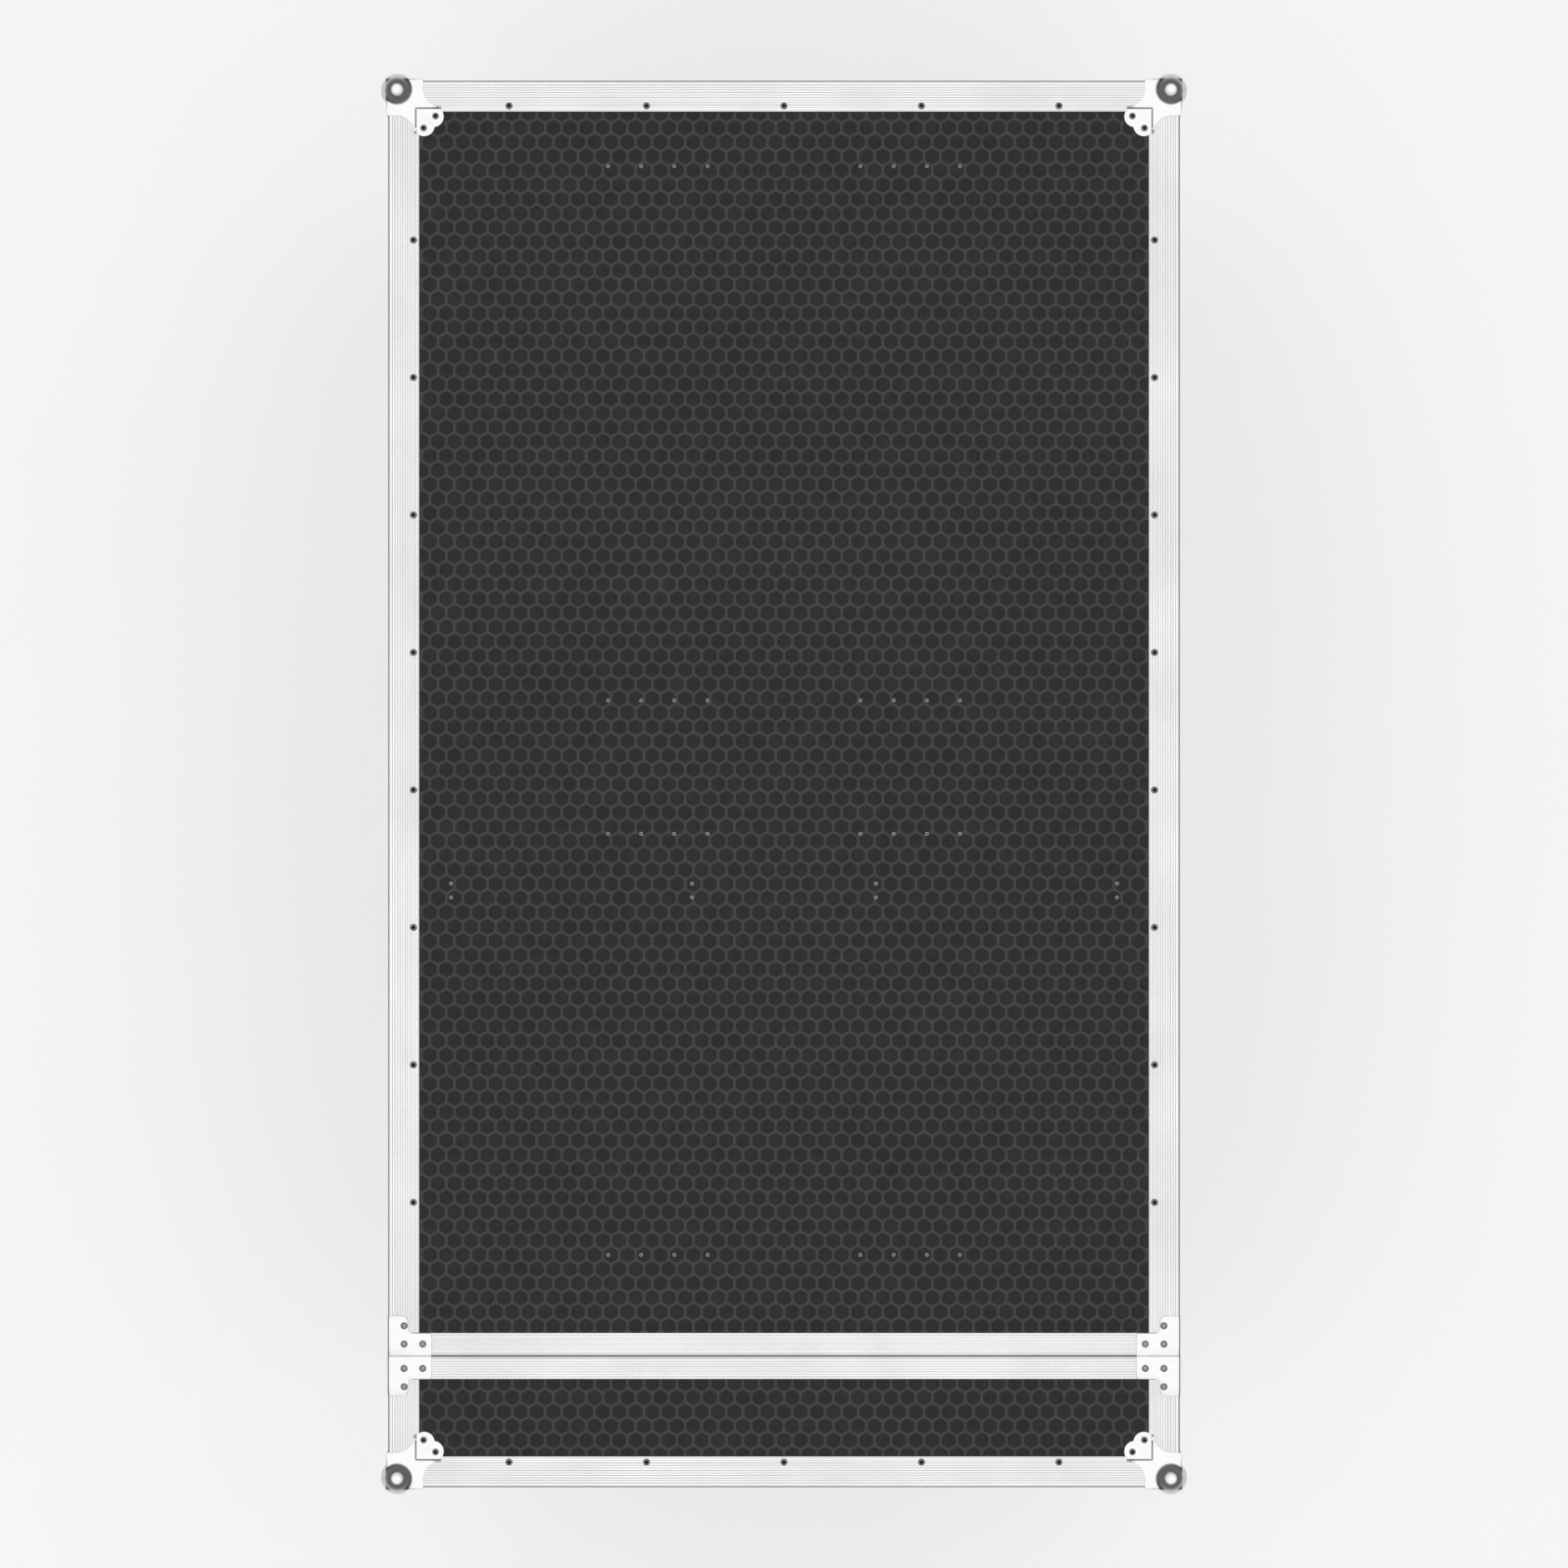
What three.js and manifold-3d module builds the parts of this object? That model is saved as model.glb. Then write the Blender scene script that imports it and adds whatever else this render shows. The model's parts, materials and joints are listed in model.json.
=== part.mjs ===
// Front-loading flight case for line-array loudspeakers, in millimetres, +Z up.
// The origin is on the floor under the middle of the closed case, and the lid faces -Y.
// Plywood boards sit in the channels of aluminium edge profiles. Pressed steel ball corners,
// braces, latches and sprung handles are riveted on, and the case rolls on four swivel castors.
import * as THREE from "three";
import { mergeVertices } from "three/addons/utils/BufferGeometryUtils.js";
import Module from "manifold-3d";

const wasm = await Module();
wasm.setup();

// Overall size of the closed case, over the faces of its edge profiles.
const CASE_WIDTH = 760;
const CASE_LENGTH = 1350;
const CASE_HEIGHT = 560;
const LID_DEPTH = 126.3;

// Clearances.
const FIT_GAP = 0.3; // between two pieces that meet
const SEAT_GAP = 0.15; // under a sheet that is riveted down, and on each face of a board

// Boards and the edge profiles that hold them.
const BOARD = 9.5;
const PROFILE_WALL = 1.5;
const PROFILE_LEG = 30;
const PROFILE_INNER_LEG = 28;

// Lid-location profiles: the groove is on the body and the tongue on the lid.
const RIM_LEG = 22;
const RIM_INNER_LEG = 20;
const RIM_BLOCK = 8;
const GROOVE_START = 4.4;
const GROOVE_WIDTH = 4;
const GROOVE_DEPTH = 6;
const TONGUE_PLAY = 0.4;
const TONGUE_SHORT = 0.6; // how far the tongue stops short of the groove's floor

// Pressed steel ball corners. Insets are measured from the faces of the case.
const SHEET = 1.2;
const BALL_RADIUS = 19;
const BALL_INSET = 11.5;
const CORNER_LEG = 33.8;
const CORNER_SCOOP = { at: [53.5, 7], radius: 19.8, from: 171, to: 97.5 };
const CRANK_INSET = 26; // where the sheet steps down from the profile to the board
const TAB_REACH = 50.9;
const LOBE = { at: [43.5, 34.8], radius: 10.05, from: -43, to: 82.7 };
const CORNER_TRIM = 8; // cut off the profiles' corner under the ball

// Pressed steel braces over the rim's corners.
const BRACE_ACROSS = 42.1;
const BRACE_ALONG = 38.5;
const BRACE_LEG = 19.3;
const BRACE_FILLET = 5;

// Recessed draw latches, two on each side of the case.
const LATCH_OFFSET_Z = 140;
const LATCH_HALF_WIDTH = 48;
const DISH_HALF_WIDTH = 42;
const DISH_FLOOR = 9; // below the face of the case
const LATCH_LENGTH = 78;
const LATCH_DISH_LENGTH = 70;
const KEEPER_LENGTH = 42;
const KEEPER_DISH_LENGTH = 34;
const PIVOT_Y = 38; // behind the split
const PIVOT_RADIUS = 5;
const PIVOT_HEAD_RADIUS = 7.5;
const PIVOT_HEAD = 1.2;
const WING_HALF_LENGTH = 26;
const WING_HALF_WIDTH = 15;
const WING_WAIST = 8;
const WING_THICKNESS = 2.2;
const HOOK_THICKNESS = 1.8;
const HOOK_HALF_WIDTH = 12;
const HOOK_TRAVEL = 9;
const HOOK_REACH = 24; // in front of the split
const HOOK_LIFT = 2.4; // the hook's height over the dish's floor
const KEEPER_BAR = { from: 16, to: 20, halfWidth: 14, height: 2 };

// Recessed sprung handles, two on each side.
const HANDLE_SPACING = 600;
const HANDLE_HALF_LENGTH = 80;
const HANDLE_HALF_HEIGHT = 56;
const TRAY_HALF_LENGTH = 66;
const TRAY_HALF_HEIGHT = 42;
const TRAY_FLOOR = 16; // below the face of the case
const TRAY_ROUND = 8;
const FLANGE_ROUND = 12;
const BAIL_PIVOT_Z = 31; // above the handle's middle
const BAIL_DEPTH = 8.2; // the bail's axis, below the face
const BAIL_DROP = 52;
const BAIL_HALF_LENGTH = 50;
const BAIL_ROD = 8;
const GRIP_RADIUS = 7.4;
const GRIP_HALF_LENGTH = 43;
const LUG = { from: 56, to: 62, halfHeight: 7.5 };

// Swivel castors on one plywood board.
const WHEEL_RADIUS = 50;
const WHEEL_WIDTH = 32;
const WHEEL_SIDES = 24;
const HUB_RADIUS = 14;
const HUB_WIDTH = 34;
const AXLE_RADIUS = 6;
const FORK_SHEET = 3;
const FORK_SIDE_GAP = 1.5;
const FORK_HEAD = 5;
const FORK_HEAD_RADIUS = 30;
const WHEEL_CLEARANCE = 5;
const TRAIL = 32; // from the swivel's axis to the wheel's axle
const RACE_HEIGHT = 8;
const RACE_RADIUS = 27;
const KING_BOLT_RADIUS = 5;
const CASTOR_PLATE = 3;
const CASTOR_PLATE_HALF = [52.5, 42.5];
const CASTOR_BOARD = 12;
const CASTOR_SIDE_INSET = 115;
const CASTOR_FRONT_INSET = 93.7; // behind the split
const CASTOR_BACK_INSET = 110;

// The stop board hangs from the top board and steadies the cabinets behind it.
const STOP_BOARD = 12;
const STOP_BOARD_INSET = 446.5; // behind the split
const STOP_BOARD_DROP = 120;

// Places worked out from the sizes above.
const HALF_WIDTH = CASE_WIDTH / 2;
const BACK_Y = CASE_LENGTH / 2;
const FRONT_Y = -CASE_LENGTH / 2;
const SPLIT_Y = FRONT_Y + LID_DEPTH;
const AXLE_Z = WHEEL_RADIUS * Math.cos(Math.PI / WHEEL_SIDES); // the wheel stands on a flat
const FORK_HEAD_Z = AXLE_Z + WHEEL_RADIUS + WHEEL_CLEARANCE;
const RACE_Z = FORK_HEAD_Z + FORK_HEAD + FIT_GAP;
const PLATE_Z = RACE_Z + RACE_HEIGHT;
const CASE_BOTTOM = PLATE_Z + CASTOR_PLATE + CASTOR_BOARD - PROFILE_WALL;
const CASE_TOP = CASE_BOTTOM + CASE_HEIGHT;
const MID_Z = (CASE_BOTTOM + CASE_TOP) / 2;
const BOARD_OUT = PROFILE_WALL + SEAT_GAP; // inset of a board's outer face
const BOARD_IN = BOARD_OUT + BOARD;
const CHANNEL_IN = BOARD_IN + SEAT_GAP;
const WEB_IN = CHANNEL_IN + PROFILE_WALL;
const BOARD_END = WEB_IN + FIT_GAP; // inset of a board that stops at a profile's web
const BOARD_WIDE = PROFILE_WALL + FIT_GAP; // inset of a board that runs behind the web
const BODY_MID_Y = (BACK_Y + SPLIT_Y) / 2;
const FORK_IN = WHEEL_WIDTH / 2 + FORK_SIDE_GAP + (HUB_WIDTH - WHEEL_WIDTH) / 2;
const FORK_OUT = FORK_IN + FORK_SHEET;

const colours = {
  film: new THREE.MeshStandardMaterial({ color: 0x303030, roughness: 0.55 }),
  profile: new THREE.MeshStandardMaterial({ color: 0xdfe2e2, roughness: 0.38, metalness: 1 }),
  steel: new THREE.MeshStandardMaterial({ color: 0xd2d4d6, roughness: 0.3, metalness: 1 }),
  zinc: new THREE.MeshStandardMaterial({ color: 0xbfc3c6, roughness: 0.35, metalness: 1 }),
  grip: new THREE.MeshStandardMaterial({ color: 0x17181a, roughness: 0.7 }),
  plywood: new THREE.MeshStandardMaterial({ color: 0xb08a5c, roughness: 0.8 }),
  tyre: new THREE.MeshStandardMaterial({ color: 0x1f4e9c, roughness: 0.6 }),
};

const flightCase = new THREE.Group();

function add(name, geometry, material) {
  const mesh = new THREE.Mesh(geometry, material);
  mesh.name = name;
  flightCase.add(mesh);
  return mesh;
}

// ---- Shapes ----

// A prism along one axis. Its outline lies on the next two axes, in X, Y, Z, X order.
function prism(axis, outline, from, to, holes = []) {
  const shape = new THREE.Shape(outline.map(([a, b]) => new THREE.Vector2(a, b)));
  shape.holes = holes.map((hole) => new THREE.Path(hole.map(([a, b]) => new THREE.Vector2(a, b))));
  const geometry = new THREE.ExtrudeGeometry(shape, { depth: to - from, bevelEnabled: false });
  geometry.translate(0, 0, from);
  const [x, y, z] = [new THREE.Vector3(1, 0, 0), new THREE.Vector3(0, 1, 0), new THREE.Vector3(0, 0, 1)];
  const basis = { x: [y, z, x], y: [z, x, y], z: [x, y, z] }[axis];
  return geometry.applyMatrix4(new THREE.Matrix4().makeBasis(...basis));
}

function block(x0, x1, y0, y1, z0, z1) {
  const geometry = new THREE.BoxGeometry(x1 - x0, y1 - y0, z1 - z0);
  return geometry.translate((x0 + x1) / 2, (y0 + y1) / 2, (z0 + z1) / 2);
}

function rectangle(a0, a1, b0, b1) {
  return [[a0, b0], [a1, b0], [a1, b1], [a0, b1]];
}

// Points on an arc, with its angles in degrees.
function arc([a, b], radius, from, to, steps) {
  return Array.from({ length: steps + 1 }, (_, i) => {
    const angle = THREE.MathUtils.degToRad(from + ((to - from) * i) / steps);
    return [a + radius * Math.cos(angle), b + radius * Math.sin(angle)];
  });
}

function circle(centre, radius, sides) {
  return arc(centre, radius, 180 / sides, 360 + 180 / sides, sides).slice(0, sides);
}

function roundedRectangle(halfA, halfB, radius, steps = 3) {
  const centres = [[1, 1], [-1, 1], [-1, -1], [1, -1]];
  return centres.flatMap(([a, b], i) =>
    arc([a * (halfA - radius), b * (halfB - radius)], radius, 90 * i, 90 * (i + 1), steps));
}

// ---- Booleans ----

function solid(geometry) {
  const bare = geometry.clone();
  bare.deleteAttribute("normal");
  bare.deleteAttribute("uv");
  const merged = mergeVertices(bare, 1e-4);
  return new wasm.Manifold(new wasm.Mesh({
    numProp: 3,
    vertProperties: merged.getAttribute("position").array,
    triVerts: new Uint32Array(merged.index.array),
  }));
}

function join(geometries) {
  return geometries.map(solid).reduce((whole, piece) => whole.add(piece));
}

function cut(whole, geometries) {
  return geometries.map(solid).reduce((left, piece) => left.subtract(piece), whole);
}

function geometryOf(whole) {
  const mesh = whole.getMesh();
  const geometry = new THREE.BufferGeometry();
  geometry.setAttribute("position", new THREE.BufferAttribute(mesh.vertProperties, 3));
  geometry.setIndex(new THREE.BufferAttribute(mesh.triVerts, 1));
  return geometry;
}

// ---- Edge profiles ----

// Section of the edge profile, as [inset from one face, inset from the other]. The board that lies
// along the first direction runs behind the web, and the other board stops at it.
const edgeSection = [
  [0, 0], [PROFILE_LEG, 0], [PROFILE_LEG, PROFILE_WALL], [PROFILE_WALL, PROFILE_WALL],
  [PROFILE_WALL, CHANNEL_IN], [PROFILE_INNER_LEG, CHANNEL_IN], [PROFILE_INNER_LEG, WEB_IN],
  [WEB_IN, WEB_IN], [WEB_IN, PROFILE_INNER_LEG], [CHANNEL_IN, PROFILE_INNER_LEG],
  [CHANNEL_IN, WEB_IN], [PROFILE_WALL, WEB_IN], [PROFILE_WALL, PROFILE_LEG], [0, PROFILE_LEG],
];

// A section of [inset, depth] points carried round the case with mitred corners.
// The depth runs from the plane at y, towards +Y where direction is 1.
function mitredRing(section, y, direction) {
  const corners = [[-1, -1], [1, -1], [1, 1], [-1, 1]];
  const positions = corners.flatMap(([sideX, sideZ]) => section.flatMap(([inset, depth]) => [
    sideX * (HALF_WIDTH - inset), y + direction * depth, MID_Z + sideZ * (CASE_HEIGHT / 2 - inset),
  ]));
  const count = section.length;
  const outward = direction * Math.sign(THREE.ShapeUtils.area(section.map(([x, y2]) => ({ x, y: y2 }))));
  const index = corners.flatMap((_, k) => section.flatMap((__, i) => {
    const here = k * count;
    const next = ((k + 1) % corners.length) * count;
    const j = (i + 1) % count;
    const faces = [[here + i, here + j, next + j], [here + i, next + j, next + i]];
    return faces.flatMap(([a, b, c]) => (outward > 0 ? [a, c, b] : [a, b, c]));
  }));
  const geometry = new THREE.BufferGeometry();
  geometry.setAttribute("position", new THREE.Float32BufferAttribute(positions, 3));
  return geometry.setIndex(index);
}

// An edge profile along Y, at the corner of the case on the given sides.
function edgeBar(sideX, sideZ, y0, y1) {
  const outline = edgeSection.map(([inset, drop]) => [
    MID_Z + sideZ * (CASE_HEIGHT / 2 - drop), sideX * (HALF_WIDTH - inset),
  ]);
  return prism("y", outline, y0, y1);
}

const cornerSigns = [-1, 1].flatMap((sideX) => [-1, 1].flatMap((sideY) =>
  [-1, 1].map((sideZ) => [sideX, sideY, sideZ])));
const cornerPoint = ([sideX, sideY, sideZ]) =>
  [sideX * HALF_WIDTH, sideY * BACK_Y, MID_Z + sideZ * CASE_HEIGHT / 2];

// A box near a corner of the case, given by insets from its three faces.
function cornerBlock(signs, insets) {
  const point = cornerPoint(signs);
  const spans = insets.flatMap(([from, to], i) =>
    [point[i] - signs[i] * from, point[i] - signs[i] * to].sort((a, b) => a - b));
  return block(...spans);
}

// What a ball corner needs cut from the profiles: their tip, and a notch for each cranked tab.
function cornerRoom(signs) {
  const tip = [[-1, CORNER_TRIM], [-1, CORNER_TRIM], [-1, CORNER_TRIM]];
  const across = [CRANK_INSET - FIT_GAP, LOBE.at[0] + LOBE.radius + FIT_GAP];
  const notches = [0, 1, 2].map((face) =>
    [0, 1, 2].map((i) => (i === face ? [-1, BOARD_OUT] : across)));
  return [tip, ...notches].map((insets) => cornerBlock(signs, insets));
}
const allCornerRoom = cornerSigns.flatMap(cornerRoom);

// ---- Lid-location rims ----

const grooveSection = [
  [0, 0], [GROOVE_START, 0], [GROOVE_START, GROOVE_DEPTH],
  [GROOVE_START + GROOVE_WIDTH, GROOVE_DEPTH], [GROOVE_START + GROOVE_WIDTH, 0],
  [WEB_IN, 0], [WEB_IN, RIM_INNER_LEG], [CHANNEL_IN, RIM_INNER_LEG], [CHANNEL_IN, RIM_BLOCK],
  [PROFILE_WALL, RIM_BLOCK], [PROFILE_WALL, RIM_LEG], [0, RIM_LEG],
];
const TONGUE = [GROOVE_START + TONGUE_PLAY, GROOVE_START + GROOVE_WIDTH - TONGUE_PLAY];
const tongueSection = [
  [0, 0], [TONGUE[0], 0], [TONGUE[0], TONGUE_SHORT - GROOVE_DEPTH],
  [TONGUE[1], TONGUE_SHORT - GROOVE_DEPTH], [TONGUE[1], 0],
  [WEB_IN, 0], [WEB_IN, RIM_INNER_LEG], [CHANNEL_IN, RIM_INNER_LEG], [CHANNEL_IN, RIM_BLOCK],
  [PROFILE_WALL, RIM_BLOCK], [PROFILE_WALL, RIM_LEG], [0, RIM_LEG],
];

// Outline of one face of a brace, as [inset from the side, distance from the split].
function braceOutline() {
  const outside = -SEAT_GAP - SHEET;
  const start = FIT_GAP / 2;
  return [
    [outside, start], [BRACE_ACROSS, start],
    [BRACE_ACROSS, RIM_LEG - BRACE_FILLET], [BRACE_ACROSS - BRACE_FILLET, RIM_LEG],
    [BRACE_LEG + BRACE_FILLET, RIM_LEG], [BRACE_LEG, RIM_LEG + BRACE_FILLET],
    [BRACE_LEG, BRACE_ALONG - BRACE_FILLET], [BRACE_LEG - BRACE_FILLET, BRACE_ALONG],
    [outside, BRACE_ALONG],
  ];
}

// The two faces of a brace at a corner of the rim, and the parts that sink into the rim's legs.
function brace(sideX, sideZ, direction) {
  const outline = braceOutline();
  const y = (along) => SPLIT_Y + direction * along;
  const faceX = (inset) => sideX * (HALF_WIDTH - inset);
  const faceZ = (inset) => MID_Z + sideZ * (CASE_HEIGHT / 2 - inset);
  const span = (a, b) => [Math.min(a, b), Math.max(a, b)];
  const bond = PROFILE_WALL / 3;
  const [start, end] = [FIT_GAP, RIM_LEG - FIT_GAP];
  const over = [-SEAT_GAP - SHEET, -SEAT_GAP];
  const top = prism("z", outline.map(([inset, along]) => [faceX(inset), y(along)]),
    ...span(faceZ(over[0]), faceZ(over[1])));
  const side = prism("x", outline.map(([inset, along]) => [y(along), faceZ(inset)]),
    ...span(faceX(over[0]), faceX(over[1])));
  const reach = [PROFILE_WALL, BRACE_ACROSS - BRACE_FILLET];
  const topBond = block(...span(faceX(reach[0]), faceX(reach[1])), ...span(y(start), y(end)),
    ...span(faceZ(bond), faceZ(over[0] + SHEET / 2)));
  const sideBond = block(...span(faceX(bond), faceX(over[0] + SHEET / 2)), ...span(y(start), y(end)),
    ...span(faceZ(reach[0]), faceZ(reach[1])));
  return [top, side, topBond, sideBond];
}

// What the latches need cut from both rims: all but the inner legs, over their width.
function latchRoom() {
  return [-1, 1].flatMap((side) => [-1, 1].map((level) => {
    const z = MID_Z + level * LATCH_OFFSET_Z;
    const spanX = [side * (HALF_WIDTH + 1), side * (HALF_WIDTH - DISH_FLOOR - SHEET - 2 * FIT_GAP)];
    return block(...spanX.sort((a, b) => a - b), SPLIT_Y - RIM_LEG - 1, SPLIT_Y + RIM_LEG + 1,
      z - LATCH_HALF_WIDTH - FIT_GAP, z + LATCH_HALF_WIDTH + FIT_GAP);
  }));
}

function rim(section, direction) {
  const ring = mitredRing(section, SPLIT_Y + (direction * FIT_GAP) / 2, direction);
  const braces = [-1, 1].flatMap((sideX) => [-1, 1].flatMap((sideZ) => brace(sideX, sideZ, direction)));
  return geometryOf(cut(join([ring, ...braces]), latchRoom()));
}

// ---- Boards ----

const boardTop = CASE_TOP - BOARD_OUT;
const boardBottom = CASE_BOTTOM + BOARD_OUT;
const boardFront = RIM_BLOCK + FIT_GAP + FIT_GAP / 2; // a board's end behind the rim's block
const wide = HALF_WIDTH - BOARD_WIDE;
const sideLow = CASE_BOTTOM + BOARD_END;
const sideHigh = CASE_TOP - BOARD_END;

// A side board's outline on Y and Z, with a notch for each latch in its end at the rim.
function notchedOutline(rimEnd, farEnd, notchEnd) {
  const half = DISH_HALF_WIDTH + SHEET + FIT_GAP;
  const notches = [-1, 1].flatMap((level) => {
    const z = MID_Z + level * LATCH_OFFSET_Z;
    return [[rimEnd, z - half], [notchEnd, z - half], [notchEnd, z + half], [rimEnd, z + half]];
  });
  return [[farEnd, sideLow], [rimEnd, sideLow], ...notches, [rimEnd, sideHigh], [farEnd, sideHigh]];
}

const handlePlaces = [-1, 1].map((end) => [BODY_MID_Y + (end * HANDLE_SPACING) / 2, MID_Z]);

function bodySideBoard(side) {
  const outline = notchedOutline(SPLIT_Y + boardFront, BACK_Y - BOARD_END,
    SPLIT_Y + LATCH_DISH_LENGTH + SHEET + FIT_GAP);
  const [halfY, halfZ] = [TRAY_HALF_LENGTH, TRAY_HALF_HEIGHT].map((half) => half + SHEET + FIT_GAP);
  const holes = handlePlaces.map(([y, z]) =>
    roundedRectangle(halfY, halfZ, TRAY_ROUND + SHEET).map(([a, b]) => [y + a, z + b]));
  const span = [side * (HALF_WIDTH - BOARD_IN), side * (HALF_WIDTH - BOARD_OUT)];
  return prism("x", outline, ...span.sort((a, b) => a - b), holes);
}

function lidSideBoard(side) {
  const outline = notchedOutline(SPLIT_Y - boardFront, FRONT_Y + BOARD_END,
    SPLIT_Y - KEEPER_DISH_LENGTH - SHEET - FIT_GAP);
  const span = [side * (HALF_WIDTH - BOARD_IN), side * (HALF_WIDTH - BOARD_OUT)];
  return prism("x", outline, ...span.sort((a, b) => a - b));
}

function addBoards() {
  const body = [SPLIT_Y + boardFront, BACK_Y - BOARD_END];
  const lid = [FRONT_Y + BOARD_END, SPLIT_Y - boardFront];
  const endHigh = CASE_TOP - BOARD_WIDE;
  const endLow = CASE_BOTTOM + BOARD_WIDE;
  add("top_board", block(-wide, wide, ...body, boardTop - BOARD, boardTop), colours.film);
  add("floor_board", block(-wide, wide, ...body, boardBottom, boardBottom + BOARD), colours.film);
  add("back_board", block(-wide, wide, BACK_Y - BOARD_IN, BACK_Y - BOARD_OUT, endLow, endHigh),
    colours.film);
  add("lid_front_board", block(-wide, wide, FRONT_Y + BOARD_OUT, FRONT_Y + BOARD_IN, endLow, endHigh),
    colours.film);
  add("lid_top_board", block(-wide, wide, ...lid, boardTop - BOARD, boardTop), colours.film);
  add("lid_floor_board", block(-wide, wide, ...lid, boardBottom, boardBottom + BOARD), colours.film);
  for (const [word, side] of [["left", -1], ["right", 1]]) {
    add(`${word}_board`, bodySideBoard(side), colours.film);
    add(`lid_${word}_board`, lidSideBoard(side), colours.film);
  }
  add("stop_board", stopBoard(), colours.plywood);
}

// The stop board's top edge meets the top board between the edge profiles' inner legs.
function stopBoard() {
  const half = HALF_WIDTH - BOARD_END;
  const halfTop = HALF_WIDTH - PROFILE_INNER_LEG - FIT_GAP;
  const high = CASE_TOP - BOARD_IN - FIT_GAP;
  const low = sideHigh - STOP_BOARD_DROP;
  const outline = [
    [low, -half], [sideHigh, -half], [sideHigh, -halfTop], [high, -halfTop],
    [high, halfTop], [sideHigh, halfTop], [sideHigh, half], [low, half],
  ];
  const middle = SPLIT_Y + STOP_BOARD_INSET;
  return prism("y", outline, middle - STOP_BOARD / 2, middle + STOP_BOARD / 2);
}

// ---- Frames ----

function addFrames() {
  const barEnd = BACK_Y - PROFILE_LEG - FIT_GAP;
  const barStart = SPLIT_Y + RIM_LEG + FIT_GAP + FIT_GAP / 2;
  for (const [word, sideX] of [["left", -1], ["right", 1]])
    for (const [level, sideZ] of [["bottom", -1], ["top", 1]]) {
      const bar = cut(solid(edgeBar(sideX, sideZ, barStart, barEnd)), allCornerRoom);
      add(`edge_${level}_${word}`, geometryOf(bar), colours.profile);
    }
  const backRing = solid(mitredRing(edgeSection, BACK_Y, -1));
  add("back_edge_frame", geometryOf(cut(backRing, allCornerRoom)), colours.profile);

  const lidBars = [-1, 1].flatMap((sideX) => [-1, 1].map((sideZ) =>
    edgeBar(sideX, sideZ, FRONT_Y + (CHANNEL_IN + WEB_IN) / 2, SPLIT_Y - RIM_LEG - 1.5 * FIT_GAP)));
  const lidRing = join([mitredRing(edgeSection, FRONT_Y, 1), ...lidBars]);
  add("lid_edge_frame", geometryOf(cut(lidRing, allCornerRoom)), colours.profile);

  add("body_rim", rim(grooveSection, 1), colours.profile);
  add("lid_rim", rim(tongueSection, -1), colours.profile);
}

// ---- Ball corners ----

// Half of an outline that is symmetric about its diagonal, completed.
function aboutDiagonal(points) {
  return [...points, ...points.slice().reverse().map(([a, b]) => [b, a])]
    .filter(([a, b], i, all) => i === 0 || a !== all[i - 1][0] || b !== all[i - 1][1]);
}

// The corner's own frame has the case's corner at its origin and +X, +Y, +Z pointing out.
function ballCorner() {
  const outside = SEAT_GAP + SHEET;
  const crankIn = CRANK_INSET + SHEET;
  const scoop = arc(CORNER_SCOOP.at, CORNER_SCOOP.radius, CORNER_SCOOP.from, CORNER_SCOOP.to, 3);
  const plate = aboutDiagonal([
    [-outside, -outside], [CORNER_LEG, -outside], ...scoop, [TAB_REACH, crankIn], [crankIn, crankIn],
  ]).slice(0, -1);
  const crank = [
    [CRANK_INSET, CRANK_INSET], [TAB_REACH, CRANK_INSET], [TAB_REACH, crankIn],
    [crankIn, crankIn], [crankIn, TAB_REACH], [CRANK_INSET, TAB_REACH],
  ];
  const lobe = arc(LOBE.at, LOBE.radius, LOBE.from, LOBE.to, 4);
  const tab = aboutDiagonal([[CRANK_INSET, CRANK_INSET], [TAB_REACH, CRANK_INSET], ...lobe]).slice(0, -1);
  const inward = (outline) => outline.map(([a, b]) => [-a, -b]);
  const tabLow = SEAT_GAP - BOARD_OUT;
  const sheets = ["x", "y", "z"].flatMap((axis) => [
    prism(axis, inward(plate), SEAT_GAP, outside),
    prism(axis, inward(crank), tabLow, outside),
    prism(axis, inward(tab), tabLow, tabLow + SHEET),
  ]);
  const ball = new THREE.SphereGeometry(BALL_RADIUS, 14, 8);
  ball.translate(-BALL_INSET, -BALL_INSET, -BALL_INSET);
  const inside = 2 * BALL_RADIUS;
  const cap = cut(solid(ball), [block(-inside, SEAT_GAP, -inside, SEAT_GAP, -inside, SEAT_GAP)]);
  return geometryOf(sheets.map(solid).reduce((whole, piece) => whole.add(piece), cap));
}

function addBallCorners() {
  const geometry = ballCorner();
  for (const signs of cornerSigns) {
    const [sideX, sideY, sideZ] = signs;
    const words = [sideY > 0 ? "back" : "lid", sideZ > 0 ? "top" : "bottom", sideX > 0 ? "right" : "left"];
    const corner = add(`ball_corner_${words.join("_")}`, geometry, colours.steel);
    corner.position.set(...cornerPoint(signs));
    corner.scale.set(...signs);
  }
}

// ---- Latches ----
// Their frame has +X out of the case's face, Y along the case from the split, and Z from the middle.

const flangeOut = -FIT_GAP;
const flangeIn = flangeOut - SHEET;
const hookIn = -DISH_FLOOR + HOOK_LIFT;
const wingIn = hookIn + HOOK_THICKNESS + FIT_GAP;
const wingOut = wingIn + WING_THICKNESS;

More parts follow.
